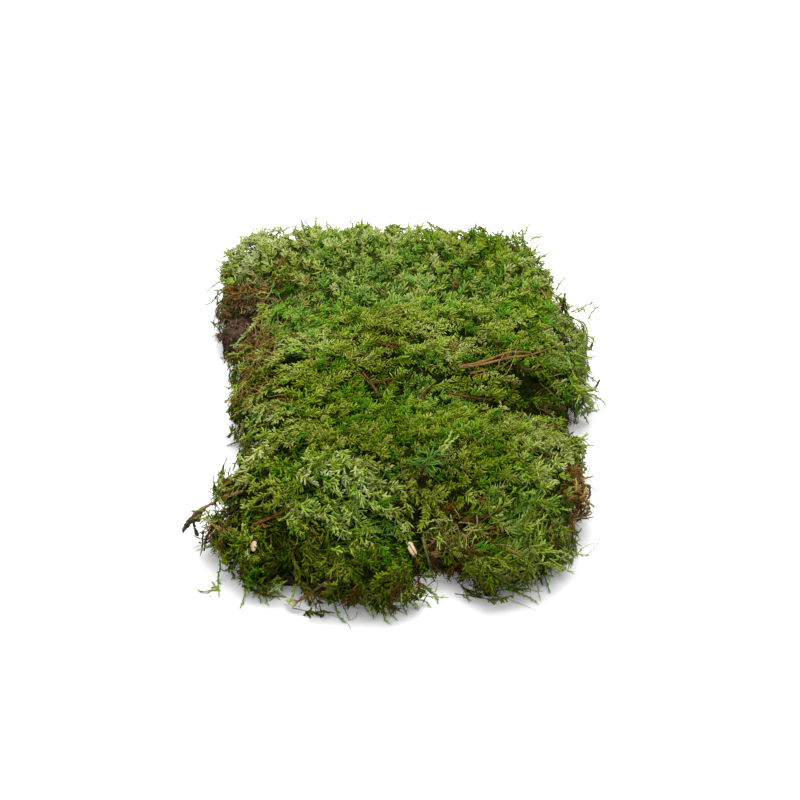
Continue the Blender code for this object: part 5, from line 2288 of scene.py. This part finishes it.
@dataclass
class Humus:
    """The dark soil under the moss, bare at the torn edge, with crumbs and dead fibres on it."""

    bare: Triple = (-0.092, 0.050, 0.145)  # right edge, front, rear
    voxel: float = 0.0026
    lumps: tuple[tuple[str, float, float], ...] = (  # name, size, height
        ("lumps", 0.008, 0.0065), ("crumbs", 0.0025, 0.0022),
    )
    litter: tuple[Litter, ...] = (
        Litter(CRUMB, 900, (0.0008, 0.0026), (0.0008, 0.0022), (0.0, 0.7), 1.0, 0.0),
        Litter(WIRE, 150, (0.0050, 0.0110), (0.00022, 0.00042), (0.6, 1.0), 0.5, 0.6),
    )
    scatter: float = 0.0008
    sink: float = 0.006  # how far the soil stays under the moss beside the bare part
    pieces: list[Piece] = field(default_factory=list)

    def build(self, material: Material) -> Piece:
        """Makes a rougher copy of the frame's humus with a lumpy top.

        Args:
            material: Its finish.

        Returns:
            The soil.
        """
        soil = Modeller.merged_copy("humus_soil", "humus_base")
        Modeller.remesh(soil, self.voxel, 1)
        raised = soil.vertex_groups.new(name="raised")
        edge = self.bare[0]
        high = [v.index for v in soil.data.vertices if v.co.z > 0.003 and v.co.x < edge]
        raised.add(high, 1.0, "REPLACE")
        for name, size, height in self.lumps:
            Modeller.roughen(soil, name, size, height, 0.6).vertex_group = raised.name
        Modeller.apply_modifiers(soil)
        for vertex in soil.data.vertices:
            hidden = min(max((vertex.co.x - edge) / 0.01, 0.0), 1.0)
            vertex.co.z -= self.sink * hidden * min(max(vertex.co.z / 0.02, 0.0), 1.0)
            vertex.co.z = max(vertex.co.z, 0.0) if vertex.co.z > 0.0008 else 0.0
        Modeller.coat(soil, material)
        self.pieces.append(soil)
        return soil

    def build_litter(self, soil: Piece, masters: MasterSet, material: Material) -> None:
        """Strews crumbs and fibres over the bare soil.

        Args:
            soil: The soil's own piece.
            masters: The shapes to copy.
            material: Their finish, with a palette of soil colours.
        """
        rng = np.random.default_rng(41)
        edge, front, rear = self.bare
        faces = [
            face for face in soil.data.polygons
            if face.center.x < edge and front < face.center.y < rear and face.center.z > 0.001
        ]
        area = np.array([face.area for face in faces])
        joined = JoinedCopies("humus_litter", masters, seed=42)
        for kind in self.litter:
            number = kind.number
            rows = rng.choice(len(faces), number, p=area / area.sum())
            normal = np.array([faces[row].normal for row in rows], float)
            root = np.array([faces[row].center for row in rows], float)
            root += rng.normal(0, self.scatter, (number, 3))
            lying = across(rng.normal(size=(number, 3)), normal)
            tone = rng.uniform(*kind.tone, number)
            joined.add(
                Copies(
                    shape=kind.shape,
                    root=root - normal * 0.0006,
                    heading=unit(normal * kind.lift + lying),
                    bow=-normal + rng.normal(0, 0.5, (number, 3)),
                    length=rng.uniform(*kind.length, number),
                    radius=rng.uniform(*kind.radius, number),
                    bend=np.full(number, kind.bend),
                    tone=tone,
                    # root to tip lightness, with a little painted highlight towards the tips
                    low=np.full(number, 0.6),
                    high=np.full(number, 0.78),
                )
            )
        self.pieces.append(joined.build(material))


@dataclass
class BarkedTwig:
    """The twig at the left tip: a tan stem that ends in dark, lumpy, forked bark."""

    ways: tuple[Way, ...] = (
        (
            (-98, -94, 40, 0.8), (-103, -94, 37.4, 1.0), (-108.4, -94, 35.2, 1.1),
            (-114.3, -94, 31.7, 1.0), (-120.3, -94.5, 27.8, 0.9), (-124, -95, 25.2, 1.1),
            (-126, -97, 25, 1.9), (-128.2, -97, 22, 2.5), (-130.7, -97, 18.7, 2.2),
            (-133.2, -97.5, 16, 1.7), (-135.4, -98, 13.2, 2.0), (-137.3, -98.5, 10, 1.1),
            (-137.8, -99, 7.6, 0.5),
        ),
        (
            (-130.7, -97, 18.7, 2.2), (-130.6, -98, 15, 1.0), (-130.2, -98.5, 10.5, 0.9),
            (-129.6, -99, 6.8, 1.6), (-128.4, -99, 5.4, 1.0),
        ),
        ((-128.2, -97, 22, 2.5), (-127.4, -98.5, 19, 1.8), (-127.6, -99, 16.8, 0.8)),
    )

    def build(self) -> Piece:
        """Models the twig."""
        limb = Limb("barked_twig_dressed", self.ways, roughness=0.0021, grain=0.0022)
        return limb.build(BarkFinish("peeling_bark").build())


@dataclass
class Sprig:
    """The green conifer sprig: a dark stem that peels at its middle, and a fan of needles."""

    ways: tuple[Way, ...] = (
        (
            (10.2, -80, 32, 0.8), (12.6, -80, 39, 0.75), (14.8, -79.5, 44.5, 0.8),
            (16.3, -79, 48, 1.0), (18.3, -76, 49.8, 0.8), (19.6, -75, 52.2, 0.95),
            (20.8, -73.4, 53.8, 0.6),
        ),
        ((14.8, -79.5, 44.5, 0.8), (12.4, -79, 46.5, 0.5), (11.0, -78, 49, 0.3)),
    )
    needles: int = 48
    length: tuple[float, float] = (0.0070, 0.0135)
    radius: tuple[float, float] = (0.00034, 0.00056)

    def build_stem(self) -> Piece:
        """Models the stem, dark below and tan above."""
        finish = BarkFinish("sprig_stem", tan=(0.42, 0.22, 0.04), tan_ends=("Z", 0.0475, 0.0495))
        return Limb("sprig_stem", self.ways, roughness=0.0006).build(finish.build())

    def build_needles(self, masters: MasterSet, material: Material) -> Piece:
        """Sets the needles round the upper half of the stem, fanned out towards the front.

        Args:
            masters: The shapes to copy.
            material: The needles' finish.

        Returns:
            All needles as one piece.
        """
        rng = np.random.default_rng(71)
        number = self.needles
        places = [tuple(LimbStep(*row).place) for row in self.ways[0]]
        stem = smooth_way(np.array(places), 0.0004)
        share = rng.uniform(0.55, 1.0, number)
        root = stem[(share * (len(stem) - 1)).astype(int)]
        fans = rng.choice((175.0, -25.0, 80.0), number, p=(0.36, 0.44, 0.20))
        angle = np.radians(fans + rng.normal(0, 24, number))
        flat, up = np.array([1.0, 0.0, 0.0]), np.array([0.0, 0.55, 0.83])
        towards = np.array([0.0, -0.83, 0.55])
        heading = unit(
            flat * np.cos(angle)[:, None]
            + up * np.sin(angle)[:, None]
            + towards * rng.normal(0.15, 0.35, number)[:, None]
        )
        joined = JoinedCopies("sprig_needles", masters, seed=72)
        joined.add(
            Copies(
                shape=NEEDLE,
                root=root,
                heading=heading,
                bow=up + rng.normal(0, 0.5, (number, 3)),
                length=rng.uniform(*self.length, number),
                radius=rng.uniform(*self.radius, number),
                bend=rng.uniform(0.05, 0.35, number),
                tone=rng.uniform(0.1, 0.9, number),
                # painted shade at the needles' roots and painted glints at their tips
                low=np.full(number, 0.5),
                high=np.full(number, 0.9),
            )
        )
        return joined.build(material)


class Debris:
    """Gives the frame's own needles, twigs and scraps their finishes."""

    FINISHES = {
        "needle": WoodyFinish("needle", (0.17, 0.065, 0.020), (0.46, 0.24, 0.095), 0.5),
        "twig": WoodyFinish("twig", (0.022, 0.011, 0.005), (0.21, 0.088, 0.024), 0.7),
        "bark": WoodyFinish("bark", (0.012, 0.007, 0.003), (0.095, 0.052, 0.022), 0.8),
        "wood_chip": WoodyFinish("wood_chip", (0.66, 0.47, 0.27), (0.92, 0.74, 0.50), 0.7),
        "sprig": WoodyFinish("sprig", (0.08, 0.15, 0.02), (0.24, 0.36, 0.09), 0.5),
        "leaf": BarkFinish(
            "leaf", (0.24, 0.26, 0.09), (0.50, 0.55, 0.27), (0.20, 0.095, 0.04), (0.30, 0.17, 0.06),
            (0.40, 0.46, 0.20), ("X", -0.066, -0.062),
        ),
    }

    def finish(self) -> None:
        """Puts its finish on each debris node."""
        made = {slot: finish.build() for slot, finish in self.FINISHES.items()}
        for part in frame["record"]["subparts"]:
            slot = part["material_slot"]
            if slot in made:
                node = frame["nodes"][part["node"]]
                for material_slot in node.material_slots:
                    material_slot.material = made[slot]


# ---- studio
@dataclass(frozen=True)
class AreaLight:
    """A square soft light that faces the object."""

    name: str
    place: Triple
    size: float
    power: float

    def build(self) -> None:
        """Adds the light."""
        Modeller.deselect()
        bpy.ops.object.light_add(type="AREA", location=self.place)
        light = bpy.context.object
        light.name = self.name
        light.data.size = self.size
        light.data.energy = self.power
        towards = Vector((0, 0, 0.02)) - Vector(self.place)
        light.rotation_euler = towards.to_track_quat("-Z", "Y").to_euler()


@dataclass(frozen=True)
class Studio:
    """Floor, lights, sky and camera."""

    lens: float = 66.18
    sensor: float = 36.0
    distance: float = 1.0
    elevation: float = math.radians(40)
    target: Triple = (0.0, 0.0, 0.025)
    shift_y: float = 0.015
    floor: float = 12.0
    lights: tuple[AreaLight, ...] = (
        AreaLight("key_light", (0.05, 0.35, 1.25), 1.3, 21.0),
        AreaLight("fill_light", (-0.9, -0.5, 1.0), 0.9, 3.0),
    )
    sky: float = 0.86
    sky_stops: Stops = ((0.0, grey(0.12)), (0.35, grey(1.0)))  # from the horizon up

    def build(self) -> None:
        """Makes the whole studio."""
        self.build_floor()
        self.build_world()
        for light in self.lights:
            light.build()
        self.build_camera()
        bpy.context.scene.view_settings.view_transform = "Standard"

    def build_floor(self) -> None:
        """Lays a wide pale floor."""
        Modeller.deselect()
        bpy.ops.mesh.primitive_plane_add(size=self.floor, location=(0, 0, 0))
        floor = bpy.context.object
        floor.name = "studio_floor"
        sketch = NodeSketch("studio_floor")
        speck = sketch.ramp(sketch.noise(30, 2), ((0.4, grey(0.94)), (0.6, grey(0.96))))
        sketch.link(speck, sketch.shader, "Base Color")
        sketch.shader.inputs["Roughness"].default_value = 0.9
        floor.data.materials.append(sketch.material)
        floor.visible_diffuse = False

    def build_world(self) -> None:
        """Makes a soft white sky that fades to dark under the horizon."""
        world = bpy.data.worlds.new("studio_sky")
        world.use_nodes = True
        tree = world.node_tree
        background = tree.nodes["Background"]
        place, split, ramp = (
            tree.nodes.new(f"ShaderNode{kind}") for kind in ("TexCoord", "SeparateXYZ", "ValToRGB")
        )
        for element, (height, colour) in zip(ramp.color_ramp.elements, self.sky_stops):
            element.position = height
            element.color = (*colour, 1.0)
        tree.links.new(place.outputs["Generated"], split.inputs["Vector"])
        tree.links.new(split.outputs["Z"], ramp.inputs["Fac"])
        tree.links.new(ramp.outputs["Color"], background.inputs["Color"])
        background.inputs["Strength"].default_value = self.sky
        bpy.context.scene.world = world

    def build_camera(self) -> None:
        """Sets the camera to the photograph's view."""
        away = Vector((0, -math.cos(self.elevation), math.sin(self.elevation)))
        data = bpy.data.cameras.new("camera")
        data.lens = self.lens
        data.sensor_width = self.sensor
        data.shift_y = self.shift_y
        camera = bpy.data.objects.new("camera", data)
        camera.location = Vector(self.target) + away * self.distance
        camera.rotation_euler = (-away).to_track_quat("-Z", "Y").to_euler()
        bpy.context.scene.collection.objects.link(camera)
        bpy.context.scene.camera = camera


# ---- all of it
# the moss core: near black as painted shade between the shoots, lighter at the rear as painted
# light
CORE_FINISH = EarthFinish(
    "moss_core", (0.003, 0.006, 0.001), (0.020, 0.034, 0.003), (0.030, 0.026, 0.005),
    lit=((0.022, 0.036, 0.004), (0.070, 0.110, 0.012)),
)
SOIL_FINISH = EarthFinish(
    "humus", (0.012, 0.008, 0.006), (0.085, 0.058, 0.042), (0.10, 0.055, 0.03)
)
LITTER_FINISH = MossFinish(
    "humus_litter",
    (
        (0.0, (0.010, 0.007, 0.005)),
        (0.3, (0.060, 0.038, 0.026)),
        (0.55, (0.150, 0.105, 0.078)),
        (0.7, (0.110, 0.050, 0.018)),
        (1.0, (0.340, 0.150, 0.045)),
    ),
    tip=(0.30, 0.25, 0.19),
)
SPRIG_FINISH = MossFinish(
    "sprig_green",
    (
        (0.0, (0.026, 0.100, 0.008)),
        (0.5, (0.085, 0.225, 0.014)),
        (1.0, (0.190, 0.320, 0.036)),
    ),
    tip=(0.30, 0.48, 0.16),
)


def dress(pieces: list[Piece], node: str) -> None:
    """Ties pieces to the body, in place of a CAD node.

    Args:
        pieces: The pieces that stand for the node.
        node: Its name in the frame.
    """
    for piece in pieces:
        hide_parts(node)
        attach(piece, BODY)


def main() -> None:
    """Builds the looks piece by piece and ties each to the frame."""
    logging.basicConfig(level=logging.INFO, format="%(message)s")
    masters = MasterSet()
    carpet = MossCarpet(masters)
    carpet.build(MossFinish().build())
    carpet.build_core(CORE_FINISH.build())
    dress(carpet.pieces, "moss_carpet")
    humus = Humus()
    soil = humus.build(SOIL_FINISH.build())
    humus.build_litter(soil, masters, LITTER_FINISH.build())
    dress(humus.pieces, "humus_base")
    dress([BarkedTwig().build()], "barked_twig")
    sprig = Sprig()
    needles = sprig.build_needles(masters, SPRIG_FINISH.build())
    dress([sprig.build_stem(), needles], "conifer_sprig")
    Debris().finish()
    Studio().build()


if __name__ == "__main__":
    main()
